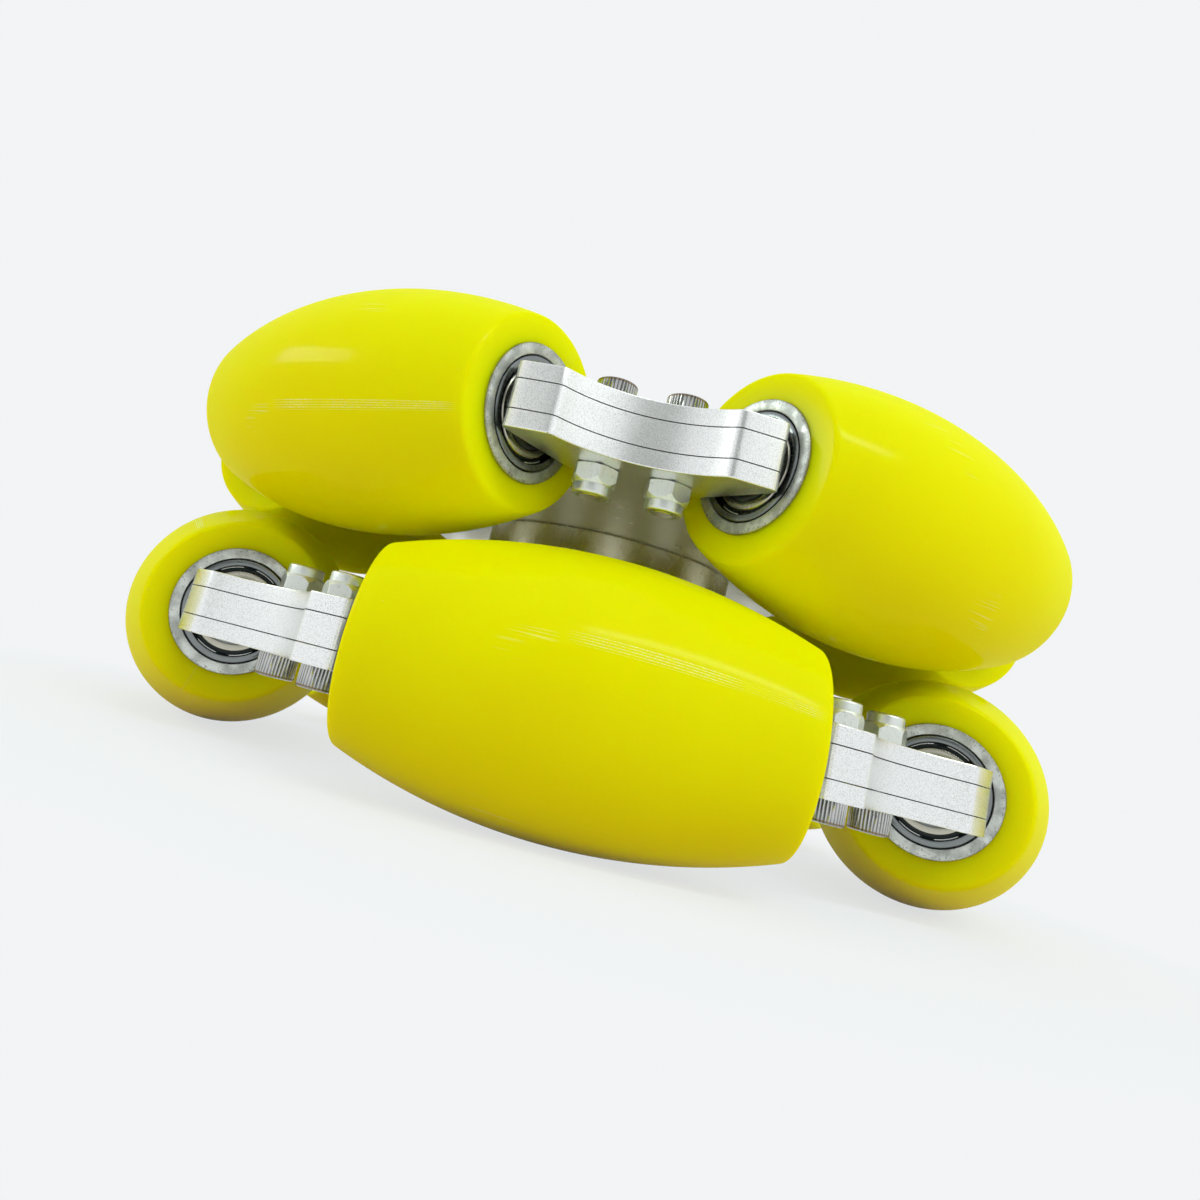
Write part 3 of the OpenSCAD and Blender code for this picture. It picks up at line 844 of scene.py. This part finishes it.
def build_materials(look):
    build_pits_group()
    build_marks_group()
    build_clouds_group()
    tyre_material(look)
    blasted_material(look)
    insert_material(look)
    core_material(look)
    bearing_material(look)
    screw_material(look)
    # The hub's tint carries a painted reflection of the yellow tyres.
    metal_material("fine_turned_aluminium", look.hub, 0.22, 0.32, 1500.0, 0.01 * MM, 0.3)
    metal_material("turned_steel", look.steel, 0.25, 0.35, 2500.0, 0.01 * MM, 0.3)
    metal_material("ground_steel", look.steel, 0.25, 0.38, 3000.0, 0.005 * MM, 0.3)
    metal_material("polished_steel", look.bright, 0.05, 0.1, 3000.0, 0.001 * MM)
    metal_material("zinc_plated_steel", look.zinc, 0.3, 0.46, 2200.0, 0.03 * MM, 0.3)


# ---- Rollers ----

def tyre_section(sizes):
    """The outer edge is an arc of the wheel's own circle, and the rims are rounded."""
    inner = CORE_R + FIT
    edge = inner + 0.4 * MM
    half = TYRE_HALF
    rim = sizes.rim_round
    rim_steps = 6
    centre = Vector((-AXLE_CIRCLE_R, 0))
    across = math.sqrt((WHEEL_R - rim) ** 2 - (half - rim) ** 2) - AXLE_CIRCLE_R
    rim_centre = Vector((across, half - rim))
    on_arc = centre + (rim_centre - centre) * WHEEL_R / (WHEEL_R - rim)
    upper_rim = arc_points(rim_centre, on_arc, (across, half), rim_steps)
    barrel = arc_points(centre, (on_arc.x, -on_arc.y), on_arc, sizes.arc_steps)
    lower_face = [Vector((x, -half)) for x in (inner, edge, (CORE_R + across) / 2)]
    return lower_face + mirrored(upper_rim) + barrel[1:-1] + upper_rim + mirrored(lower_face)


def lay_round_map(piece):
    """A map in metres: X runs round the piece at its largest radius, Y along its axis."""
    layer = piece.data.uv_layers.new(name="round_and_along")
    for face in piece.data.polygons:
        middle = math.atan2(face.center.y, face.center.x)
        for loop in face.loop_indices:
            place = piece.data.vertices[piece.data.loops[loop].vertex_index].co
            angle = math.atan2(place.y, place.x)
            angle += math.tau * round((middle - angle) / math.tau)
            layer.data[loop].uv = (angle * TYRE_R, place.z)


class OMNI_OT_tyres(bpy.types.Operator):
    """Model the barrel tyres of all rollers"""
    bl_idname = "omni.tyres"
    bl_label = "Tyres"

    def execute(self, context):
        sizes = context.scene.omni_rollers
        model = spin_section("tyre", tyre_section(sizes), sizes.steps)
        lay_round_map(model)
        smooth(model, 40)
        for row, number, body in rollers():
            seam = Matrix.Rotation(math.radians(SEAM_DEGREES[row][number - 1]), 4, "Z")
            tyre = copy_to(model, f"{row}_tyre_{number}", roller_matrix(row, number) @ seam)
            finish_piece(tyre, "cast_polyurethane", "tyre_polyurethane", body, f"{body}_tyre")
        bpy.data.objects.remove(model)
        return {"FINISHED"}


def core_section(sizes, bearing):
    """A sleeve, bored from both ends for the bearings."""
    seat = BEARING_R + FIT
    shoulder = BEARING_R - sizes.shoulder
    deep = CORE_HALF - bearing.width
    mouth, edge = sizes.mouth_round, sizes.edge_round
    return rounded([
        (seat, -CORE_HALF, mouth), (CORE_R, -CORE_HALF, edge), (CORE_R, CORE_HALF, edge),
        (seat, CORE_HALF, mouth), (seat, deep, 0), (shoulder, deep, 0), (shoulder, -deep, 0),
        (seat, -deep, 0)])


class OMNI_OT_cores(bpy.types.Operator):
    """Model the cores that the tyres are cast on"""
    bl_idname = "omni.cores"
    bl_label = "Cores"

    def execute(self, context):
        scene = context.scene
        section = core_section(scene.omni_rollers, scene.omni_bearings)
        model = spin_section("core", section, CORE_STEPS)
        lay_map(model, "from_the_axle")
        smooth(model)
        for row, number, body in rollers():
            core = copy_to(model, f"{row}_core_{number}", roller_matrix(row, number))
            finish_piece(core, "rough_turned_aluminium", "core_aluminium", body, f"{body}_core")
        bpy.data.objects.remove(model)
        return {"FINISHED"}


# ---- Bearings ----

def outer_ring_section(sizes):
    half = sizes.width / 2
    land = BEARING_R - sizes.land
    middle = (sizes.bore + BEARING_R) / 2
    rise = math.sqrt(sizes.ball ** 2 - (land - middle) ** 2)
    groove_steps = 6
    groove = arc_points((middle, 0), (land, rise), (land, -rise), groove_steps)
    small = 0.1 * MM
    return rounded([
        (land, -half, small), (BEARING_R, -half, sizes.edge_round),
        (BEARING_R, half, sizes.edge_round), (land, half, small)], 2) + groove


def shield_section(sizes):
    """Sheet ring with a rolled rim, a sunk channel and a raised inner face."""
    rim = BEARING_R - sizes.land - FIT
    top = sizes.width / 2 - sizes.shield_recess
    sunk = top - sizes.channel_depth
    step = rim - sizes.channel
    roll = 0.18 * MM
    soft = 0.06 * MM
    return rounded([
        (sizes.shield_inner, top - sizes.sheet, 0), (step - sizes.sheet, top - sizes.sheet, 0),
        (step - sizes.sheet, sunk - sizes.sheet, 0), (rim, sunk - sizes.sheet, 0),
        (rim, sunk + roll, soft), (rim - roll, sunk + roll, soft), (rim - 2 * roll, sunk, soft),
        (step + sizes.sheet, sunk, soft), (step, top, soft), (sizes.shield_inner, top, soft)], 2)


def model_shield(sizes):
    """A shield with the marks of the press in its rolled rim."""
    piece = spin_section("shield", shield_section(sizes), sizes.steps)
    top = sizes.width / 2 - sizes.shield_recess
    rolled = BEARING_R - sizes.land - 0.3 * MM
    low = top - sizes.channel_depth + 0.1 * MM
    spacing = math.tau / sizes.crimps
    half_mark = math.radians(6)
    with editing(piece):
        def at_crimp(co):
            turn = (math.atan2(co.y, co.x) + spacing / 2) % spacing - spacing / 2
            return co.xy.length > rolled and co.z > low and abs(turn) < half_mark
        select_points(piece, at_crimp)
        bpy.ops.transform.translate(value=(0, 0, -sizes.crimp_depth))
    return piece


class OMNI_OT_bearings(bpy.types.Operator):
    """Model the outer rings and shields of all bearings"""
    bl_idname = "omni.bearings"
    bl_label = "Bearings"

    def execute(self, context):
        sizes = context.scene.omni_bearings
        ring = spin_section("ring", outer_ring_section(sizes), sizes.steps)
        shield = model_shield(sizes)
        flip = Matrix.Scale(-1, 4, (0, 0, 1))
        other = copy_to(shield, "other_shield", flip)
        bearing = merge_pieces([ring, shield, other], "bearing")
        lay_map(bearing, "from_the_axle")
        smooth(bearing)
        at_end = Matrix.Translation((0, 0, CORE_HALF - sizes.width / 2))
        for row, number, body in rollers():
            place = roller_matrix(row, number)
            name = f"{row}_bearings_{number}"
            ends = [copy_to(bearing, f"{name}_{i}", place @ turn @ at_end)
                    for i, turn in enumerate((Matrix.Identity(4), flip))]
            pair = merge_pieces(ends, name)
            finish_piece(pair, "shielded_bearing", "bearing_steel", body, f"{body}_bearings")
        bpy.data.objects.remove(bearing)
        return {"FINISHED"}


# ---- Star plates ----

def half_outline(sizes, slotted):
    """Edge of a plate from the bottom of one pocket to the middle of the next tip, pocket along X."""
    bottom_steps, round_steps, tip_steps, hollow_steps = 14, 6, 5, 18
    wall = CORE_HALF + sizes.end_gap
    far = Vector((2 * AXLE_CIRCLE_R, 0))
    bottom = WHEEL_R + sizes.pocket_gap
    fillet, tip = sizes.pocket_round, sizes.tip_round
    reach = bottom - fillet
    inner = Vector((far.x - math.sqrt(reach ** 2 - (wall - fillet) ** 2), wall - fillet))
    on_bottom = far + (inner - far) * bottom / reach
    points = arc_points(far, (far.x - bottom, 0), on_bottom, bottom_steps)
    points += arc_points(inner, on_bottom, (inner.x, wall), round_steps)[1:]
    if slotted:
        near = AXLE_CIRCLE_R - sizes.slot_width / 2
        away = AXLE_CIRCLE_R + sizes.slot_width / 2
        deep = wall + sizes.slot_depth
        points += [Vector(p) for p in ((near, wall), (near, deep), (away, deep), (away, wall))]
    corner = Vector((math.sqrt((sizes.tip_r - tip) ** 2 - (wall + tip) ** 2), wall + tip))
    on_tip = corner * sizes.tip_r / corner.length
    points += arc_points(corner, (corner.x, wall), on_tip, tip_steps)
    hollow = sizes.tip_r - sizes.scallop_depth + sizes.scallop_r
    x = (sizes.tip_r ** 2 + hollow ** 2 - sizes.scallop_r ** 2) / (2 * hollow)
    y = -math.sqrt(sizes.tip_r ** 2 - x ** 2)
    arm = PITCH / 2
    corner = turned((x, y), arm)
    middle = turned((hollow, 0), arm)
    before = turned(corner, -sizes.corner_soft / sizes.tip_r)
    after = middle + turned(corner - middle, -sizes.corner_soft / sizes.scallop_r)
    points += arc_points((0, 0), on_tip, before, tip_steps)[1:]
    points += soft_corner(before, corner, after, tip_steps)[1:]
    lowest = turned((hollow - sizes.scallop_r, 0), arm)
    points += arc_points(middle, after, lowest, hollow_steps)[1:]
    return points


def star_outline(sizes, slotted):
    half = half_outline(sizes, slotted)
    pocket = mirrored(half[1:-1]) + half
    return [turned(p, PITCH * k) for k in range(ROLLERS) for p in pocket]


def arm_screw_places(sizes):
    """The two screws of every arm, with the first pocket along X."""
    return [turned((sizes.arm_line, hand * sizes.arm_pitch / 2), PITCH * (k + 0.5))
            for k in range(ROLLERS) for hand in (-1, 1)]


def hub_screw_places(sizes):
    """The hub screw of every arm, with the first pocket along X."""
    return [turned((sizes.hub_circle, 0), PITCH * (k + 0.5)) for k in range(ROLLERS)]


def model_plate(name, low, high, scene, free_face):
    """A star plate between two heights, with its first pocket along X and one broken edge or none."""
    sizes, fasteners = scene.omni_plates, scene.omni_fasteners
    holes = [(0, 0, scene.omni_hub.spigot + FIT, SPIGOT_HOLE_STEPS)]
    for thread, places in ((fasteners.arm_thread, arm_screw_places(fasteners)),
                           (fasteners.hub_thread, hub_screw_places(fasteners))):
        radius = thread + fasteners.clearance
        holes += [(p.x, p.y, radius, SCREW_HOLE_STEPS) for p in places]
    gap = sizes.joint_gap / 2
    low_gap, high_gap = gap * (free_face != low), gap * (free_face != high)
    outline = star_outline(sizes, slotted=free_face is None)
    plate = raise_outline(name, outline, low + low_gap, high - high_gap, holes)
    if free_face is not None:
        break_face_edges(plate, free_face, sizes.edge_bevel)
    smooth(plate, 18)
    return plate


class OMNI_OT_plates(bpy.types.Operator):
    """Model the six star plates"""
    bl_idname = "omni.plates"
    bl_label = "Star plates"

    def execute(self, context):
        for kind in ("outer_plate", "middle_plate", "inner_plate"):
            for row in ROWS:
                low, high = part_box(f"{row}_{kind}")
                upward = (kind == "outer_plate") == (row == "upper")
                free = None if kind == "middle_plate" else high.z if upward else low.z
                plate = model_plate(f"{row}_{kind}_star", low.z, high.z, context.scene, free)
                plate.data.transform(row_turn(row))
                finish_piece(plate, "blasted_aluminium", "plate_aluminium", WHEEL_BODY,
                             f"{row}_{kind}")
        return {"FINISHED"}


# ---- Screws and nuts ----

def hexagon(name, flats, low, high):
    """A six-sided block, from its width across the flats."""
    return cylinder(name, flats / 2 / math.cos(math.pi / 6), low, high, 6)


def model_cap_screw(sizes, thread, shank, head, height, key):
    """A cap screw on Z = 0 with its shank below: knurled head, hexagonal socket, chamfered end."""
    ridges = sizes.ridges
    chamfer = 0.3 * MM
    soft = 0.1 * head
    crown = 0.35 * soft
    foot = 0.06 * head
    section = [(0, -shank), (thread - chamfer, -shank), (thread, -shank + chamfer), (thread, 0),
               (head - foot, 0), (head, foot), (head, height - soft),
               (head - crown, height - crown), (head - soft, height), (0, height)]
    screw = spin_section("screw", section, 2 * ridges)
    groove = 1 - sizes.ridge_depth / head
    with editing(screw):
        def in_groove(co):
            step = round(math.atan2(co.y, co.x) * ridges / math.pi)
            return co.xy.length > head - 0.3 * soft and step % 2 == 1
        select_points(screw, in_groove)
        bpy.ops.transform.resize(value=(groove, groove, 1), center_override=(0, 0, 0))
    combine(screw, hexagon("socket", key, height / 2, height + MM), "DIFFERENCE")
    break_edges(screw, 0.04 * MM, 1)
    lay_map(screw, "head_share", head, height)
    smooth(screw, 28)
    return screw


def outer_height(row):
    low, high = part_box(f"{row}_outer_plate")
    return high.z if row == "upper" else low.z


def inner_height(row):
    low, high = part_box(f"{row}_inner_plate")
    return low.z if row == "upper" else high.z


STACK = outer_height("upper") - inner_height("upper")


def face_matrices(places, height_of, down_row):
    """The places on one face of both rows. Z points up there, and down on the named row."""
    return [row_turn(row) @ Matrix.Translation((*place, height_of(row)))
            @ Matrix.Rotation(math.pi if row == down_row else 0, 4, "X")
            for row in ROWS for place in places]


def fit_screws(screw, name, places, node):
    """Puts a screw in each place on the outer faces of both rows, as one piece."""
    screws = copies(screw, name, face_matrices(places, outer_height, "lower"))
    finish_piece(screws, "stainless_steel", "screw_steel", WHEEL_BODY, node)


class OMNI_OT_arm_screws(bpy.types.Operator):
    """Model the cap screws in the arms"""
    bl_idname = "omni.arm_screws"
    bl_label = "Arm screws"

    def execute(self, context):
        sizes = context.scene.omni_fasteners
        screw = model_cap_screw(sizes, sizes.arm_thread, STACK + sizes.nut_height, sizes.arm_head,
                                sizes.arm_head_height, sizes.arm_key)
        fit_screws(screw, "arm_cap_screws", arm_screw_places(sizes), "arm_screws")
        return {"FINISHED"}


class OMNI_OT_hub_screws(bpy.types.Operator):
    """Model the cap screws that hold the plates to the hub"""
    bl_idname = "omni.hub_screws"
    bl_label = "Hub screws"

    def execute(self, context):
        sizes = context.scene.omni_fasteners
        screw = model_cap_screw(sizes, sizes.hub_thread, STACK + sizes.hub_grip, sizes.hub_head,
                                sizes.hub_head_height, sizes.hub_key)
        fit_screws(screw, "hub_cap_screws", hub_screw_places(sizes), "hub_screws")
        return {"FINISHED"}


def insert_shelf(sizes):
    """Height at which the insert lies in its nut."""
    return sizes.nut_height - sizes.insert_lip - sizes.insert_height


def model_lock_nut(sizes):
    """A lock nut on Z = 0: hexagon with turned corners, rolled collar, seat of the insert."""
    flat, corner = sizes.nut_flats / 2, sizes.nut_flats / 2 / math.cos(math.pi / 6)
    seat = flat - 0.1 * MM
    top = sizes.nut_hex
    low_chamfer, high_chamfer, roll = 0.3 * MM, 1.1 * MM, 0.5 * MM
    nut = hexagon("nut", sizes.nut_flats, 0, top)
    break_edges(nut, 0.22 * MM, 3)
    corners = spin_section("corners", [
        (0, -MM), (seat - MM, -MM), (seat, 0), (corner, low_chamfer), (corner, top - high_chamfer),
        (seat, top), (0, top)], 2 * NUT_STEPS)
    combine(nut, corners, "INTERSECT")
    collar = spin_section("collar", rounded([
        (0, top / 2, 0), (sizes.nut_collar, top / 2, 0), (sizes.nut_collar, sizes.nut_height, roll),
        (0, sizes.nut_height, 0)], 4), NUT_STEPS)
    combine(nut, collar, "UNION")
    insert = sizes.nut_collar - sizes.insert_wall
    lip = insert - sizes.insert_lip
    shelf = insert_shelf(sizes)
    under_lip = shelf + sizes.insert_height
    above = sizes.nut_height + 2 * MM
    thread = sizes.arm_thread + FIT
    hole = spin_section("hole", [
        (0, -MM), (thread, -MM), (thread, shelf), (insert, shelf), (insert, under_lip),
        (lip, under_lip), (lip, above), (0, above)], NUT_STEPS)
    combine(nut, hole, "DIFFERENCE")
    smooth(nut, 25)
    return nut


def model_insert(sizes):
    """The nylon ring inside a lock nut."""
    outer = sizes.nut_collar - sizes.insert_wall - FIT
    inner = sizes.arm_thread + FIT
    low = insert_shelf(sizes) + FIT
    high = low + sizes.insert_height - 2 * FIT
    ring = spin_section("insert", rounded([
        (inner, low, 0), (outer, low, 0), (outer, high, 0.1 * MM), (inner, high, 0.2 * MM)], 2),
        INSERT_STEPS)
    smooth(ring)
    return ring


class OMNI_OT_lock_nuts(bpy.types.Operator):
    """Model the lock nuts and their inserts"""
    bl_idname = "omni.lock_nuts"
    bl_label = "Lock nuts"

    def execute(self, context):
        sizes = context.scene.omni_fasteners
        places = face_matrices(arm_screw_places(sizes), inner_height, "upper")
        nuts = copies(model_lock_nut(sizes), "arm_lock_nuts", places)
        finish_piece(nuts, "zinc_plated_steel", "nut_steel", WHEEL_BODY, "lock_nuts")
        inserts = copies(model_insert(sizes), "nut_insert_rings", places)
        finish_piece(inserts, "natural_nylon", "nut_insert_nylon", WHEEL_BODY, "lock_nut_inserts")
        return {"FINISHED"}


# ---- Hub ----

class OMNI_OT_hub(bpy.types.Operator):
    """Model the hub with its bore, keyway and tapped holes"""
    bl_idname = "omni.hub"
    bl_label = "Hub"

    def execute(self, context):
        sizes = context.scene.omni_hub
        drum_r = HUB_SIZE.x / 2
        half = HUB_SIZE.z / 2
        drum = inner_height("upper")
        edge = sizes.edge_bevel
        hub = spin_section("hub", rounded([
            (sizes.bore, -half, sizes.chamfer), (sizes.spigot, -half, edge), (sizes.spigot, -drum, 0),
            (drum_r, -drum, edge), (drum_r, drum, edge), (sizes.spigot, drum, 0),
            (sizes.spigot, half, edge), (sizes.bore, half, sizes.chamfer)], 1), HUB_STEPS)
        deep = sizes.bore + sizes.key_depth
        through = 2.2 * half
        key = add_piece(bpy.ops.mesh.primitive_cube_add, "keyway", size=1,
                        location=(0, deep / 2, 0), scale=(sizes.key_width, deep, through))
        apply_place(key)
        combine(hub, key, "DIFFERENCE")
        for k in range(sizes.holes):
            place = turned((sizes.hole_circle, 0), math.tau * (k + 0.5) / sizes.holes)
            hole = cylinder("hole", sizes.hole, -half - MM, half + MM, TAPPED_HOLE_STEPS, place)
            combine(hub, hole, "DIFFERENCE")
        smooth(hub, 25)
        finish_piece(hub, "fine_turned_aluminium", "hub_aluminium", WHEEL_BODY, "hub")
        hub.name = "drive_hub"
        return {"FINISHED"}


# ---- Pieces of the frame that stay ----

class OMNI_OT_frame_finish(bpy.types.Operator):
    """Give the frame's own axles, inner rings and balls their finish"""
    bl_idname = "omni.frame_finish"
    bl_label = "Axles, inner rings and balls"

    def execute(self, context):
        for name, node in frame["nodes"].items():
            if node.hide_render:
                continue
            if name.endswith("axles"):
                give_material(node, "turned_steel")
            elif name.endswith("balls"):
                give_material(node, "polished_steel")
            else:
                give_material(node, "ground_steel")
        return {"FINISHED"}


# ---- Stage ----

def light_path_mask(tree):
    """One for what the camera, a mirror or a glass sees, and zero for light on the object."""
    path = tree.nodes.new("ShaderNodeLightPath").outputs
    seen = math_node(tree, "MAXIMUM", path["Is Camera Ray"], path["Is Glossy Ray"])
    return math_node(tree, "MAXIMUM", seen, path["Is Transmission Ray"])


def build_world(scene, stage):
    world = bpy.data.worlds.new("studio")
    scene.world = world
    world.use_nodes = True
    world.cycles.sampling_method = "NONE"
    tree = world.node_tree
    tint = mix_colour(tree, light_path_mask(tree), rgba(stage.fill), rgba(stage.background))
    tree.links.new(tint, tree.nodes["Background"].inputs["Color"])


def glow_node(tree, tint):
    return add_node(tree, "ShaderNodeEmission", {"Color": rgba(tint)}).outputs[0]


def show_glow(name, tree, surface):
    """Gives a stage material its surface, whose glow isn't sampled as a lamp."""
    tree.links.new(surface, tree.nodes["Material Output"].inputs["Surface"])
    bpy.data.materials[name].cycles.emission_sampling = "NONE"


def floor_material(stage):
    """Glows evenly where it is seen, with part of the wheel's shadow, and lights the wheel as paint."""
    tree, shader, place = new_material("floor", Roughness=0.9)
    seen = light_path_mask(tree)
    feed(tree, shader, {"Base Color": mix_colour(tree, seen, rgba(stage.bounce), rgba(stage.floor))})
    away = add_node(tree, "ShaderNodeVectorMath", {0: place}, operation="LENGTH").outputs["Value"]
    far = between(tree, away, *SHADOW_REACH, 1.0 - stage.shadow, 1.0)
    paint = tree.nodes["Principled BSDF"].outputs[0]
    mixed = add_node(tree, "ShaderNodeMixShader", {0: times(tree, far, seen), 1: paint,
                                                   2: glow_node(tree, stage.background)})
    show_glow("floor", tree, mixed.outputs[0])


def flag_material(stage):
    tree = new_material("flag")[0]
    show_glow("flag", tree, glow_node(tree, stage.flag))


def add_floor():
    floor = add_piece(bpy.ops.mesh.primitive_plane_add, "floor", size=FLOOR_SIDE,
                      location=(0, 0, FLOOR_Z))
    apply_place(floor)
    give_material(floor, "floor")


def add_flag():
    """A dark card in front, which gives bright metal something dark to mirror."""
    card = add_piece(bpy.ops.mesh.primitive_plane_add, "front_flag", size=1, location=FLAG_PLACE,
                     rotation=(math.pi / 2, 0, 0))
    card.scale = FLAG_SIZE
    apply_place(card)
    give_material(card, "flag")
    card.visible_camera = card.visible_diffuse = card.visible_shadow = False


def add_lamp(name, place, along, size, power, mirrored):
    """A soft light that faces the wheel, with its length laid along a direction."""
    lamp = bpy.data.objects.new(name, bpy.data.lights.new(name, "AREA"))
    bpy.context.scene.collection.objects.link(lamp)
    lamp.data.shape = "RECTANGLE"
    lamp.data.size, lamp.data.size_y = size
    lamp.data.energy = power
    lamp.data.color = LAMP_COLOUR
    back = Vector(place).normalized()
    side = Vector(along)
    side = (side - side.dot(back) * back).normalized()
    turn = Matrix((side, back.cross(side), back)).transposed()
    lamp.matrix_world = Matrix.Translation(place) @ turn.to_4x4()
    lamp.visible_camera = False
    lamp.visible_glossy = mirrored


def add_camera(scene):
    """A wide view from just above the floor, a little rolled."""
    ahead_is_y = Matrix(((1, 0, 0), (0, 0, -1), (0, 1, 0)))
    level = Matrix.Rotation(CAMERA_PITCH, 3, "X") @ Matrix.Rotation(CAMERA_YAW, 3, "Y") @ ahead_is_y
    right, down, ahead = Matrix.Rotation(CAMERA_ROLL, 3, "Z") @ level
    turn = Matrix((right, -down, -ahead)).transposed().to_4x4()
    camera = bpy.data.objects.new("camera", bpy.data.cameras.new("camera"))
    scene.collection.objects.link(camera)
    camera.matrix_world = Matrix.Translation(CAMERA_PLACE) @ turn
    camera.data.lens = CAMERA_LENS
    camera.data.sensor_width = CAMERA_SENSOR
    camera.data.shift_x, camera.data.shift_y = CAMERA_SHIFT
    camera.data.clip_start = CAMERA_NEAR
    scene.camera = camera


class OMNI_OT_stage(bpy.types.Operator):
    """Set up the floor, the lamps, the world and the camera"""
    bl_idname = "omni.stage"
    bl_label = "Stage"

    def execute(self, context):
        scene = context.scene
        stage = scene.omni_stage
        build_world(scene, stage)
        floor_material(stage)
        flag_material(stage)
        add_floor()
        add_flag()
        for lamp in LAMPS:
            add_lamp(*lamp)
        add_camera(scene)
        scene.view_settings.view_transform = "Standard"
        return {"FINISHED"}


class OMNI_OT_materials(bpy.types.Operator):
    """Build the finishes"""
    bl_idname = "omni.materials"
    bl_label = "Finishes"

    def execute(self, context):
        build_materials(context.scene.omni_finish)
        return {"FINISHED"}


class OMNI_PT_wheel(bpy.types.Panel):
    """Lists the steps that dress the wheel"""
    bl_idname = "OMNI_PT_wheel"
    bl_label = "Omni Wheel"
    bl_space_type = "VIEW_3D"
    bl_region_type = "UI"
    bl_category = "Omni Wheel"

    def draw(self, context):
        for step in STEPS:
            self.layout.operator(step.bl_idname)


STEPS = (OMNI_OT_materials, OMNI_OT_stage, OMNI_OT_tyres, OMNI_OT_cores, OMNI_OT_bearings,
         OMNI_OT_plates, OMNI_OT_arm_screws, OMNI_OT_lock_nuts, OMNI_OT_hub_screws, OMNI_OT_hub,
         OMNI_OT_frame_finish)
GROUPS = {"omni_rollers": OmniRollerSizes, "omni_bearings": OmniBearingSizes,
          "omni_plates": OmniPlateSizes, "omni_fasteners": OmniFastenerSizes,
          "omni_hub": OmniHubSizes, "omni_finish": OmniFinish, "omni_stage": OmniStage}


def register():
    for kind in (*GROUPS.values(), *STEPS, OMNI_PT_wheel):
        bpy.utils.register_class(kind)
    for name, kind in GROUPS.items():
        setattr(bpy.types.Scene, name, PointerProperty(type=kind))


def unregister():
    for name in GROUPS:
        delattr(bpy.types.Scene, name)
    for kind in reversed((*GROUPS.values(), *STEPS, OMNI_PT_wheel)):
        bpy.utils.unregister_class(kind)


def main():
    register()
    bpy.ops.omni.materials()
    bpy.ops.omni.stage()
    bpy.ops.omni.tyres()
    bpy.ops.omni.cores()
    bpy.ops.omni.bearings()
    bpy.ops.omni.plates()
    bpy.ops.omni.arm_screws()
    bpy.ops.omni.lock_nuts()
    bpy.ops.omni.hub_screws()
    bpy.ops.omni.hub()
    bpy.ops.omni.frame_finish()


if __name__ == "__main__":
    main()
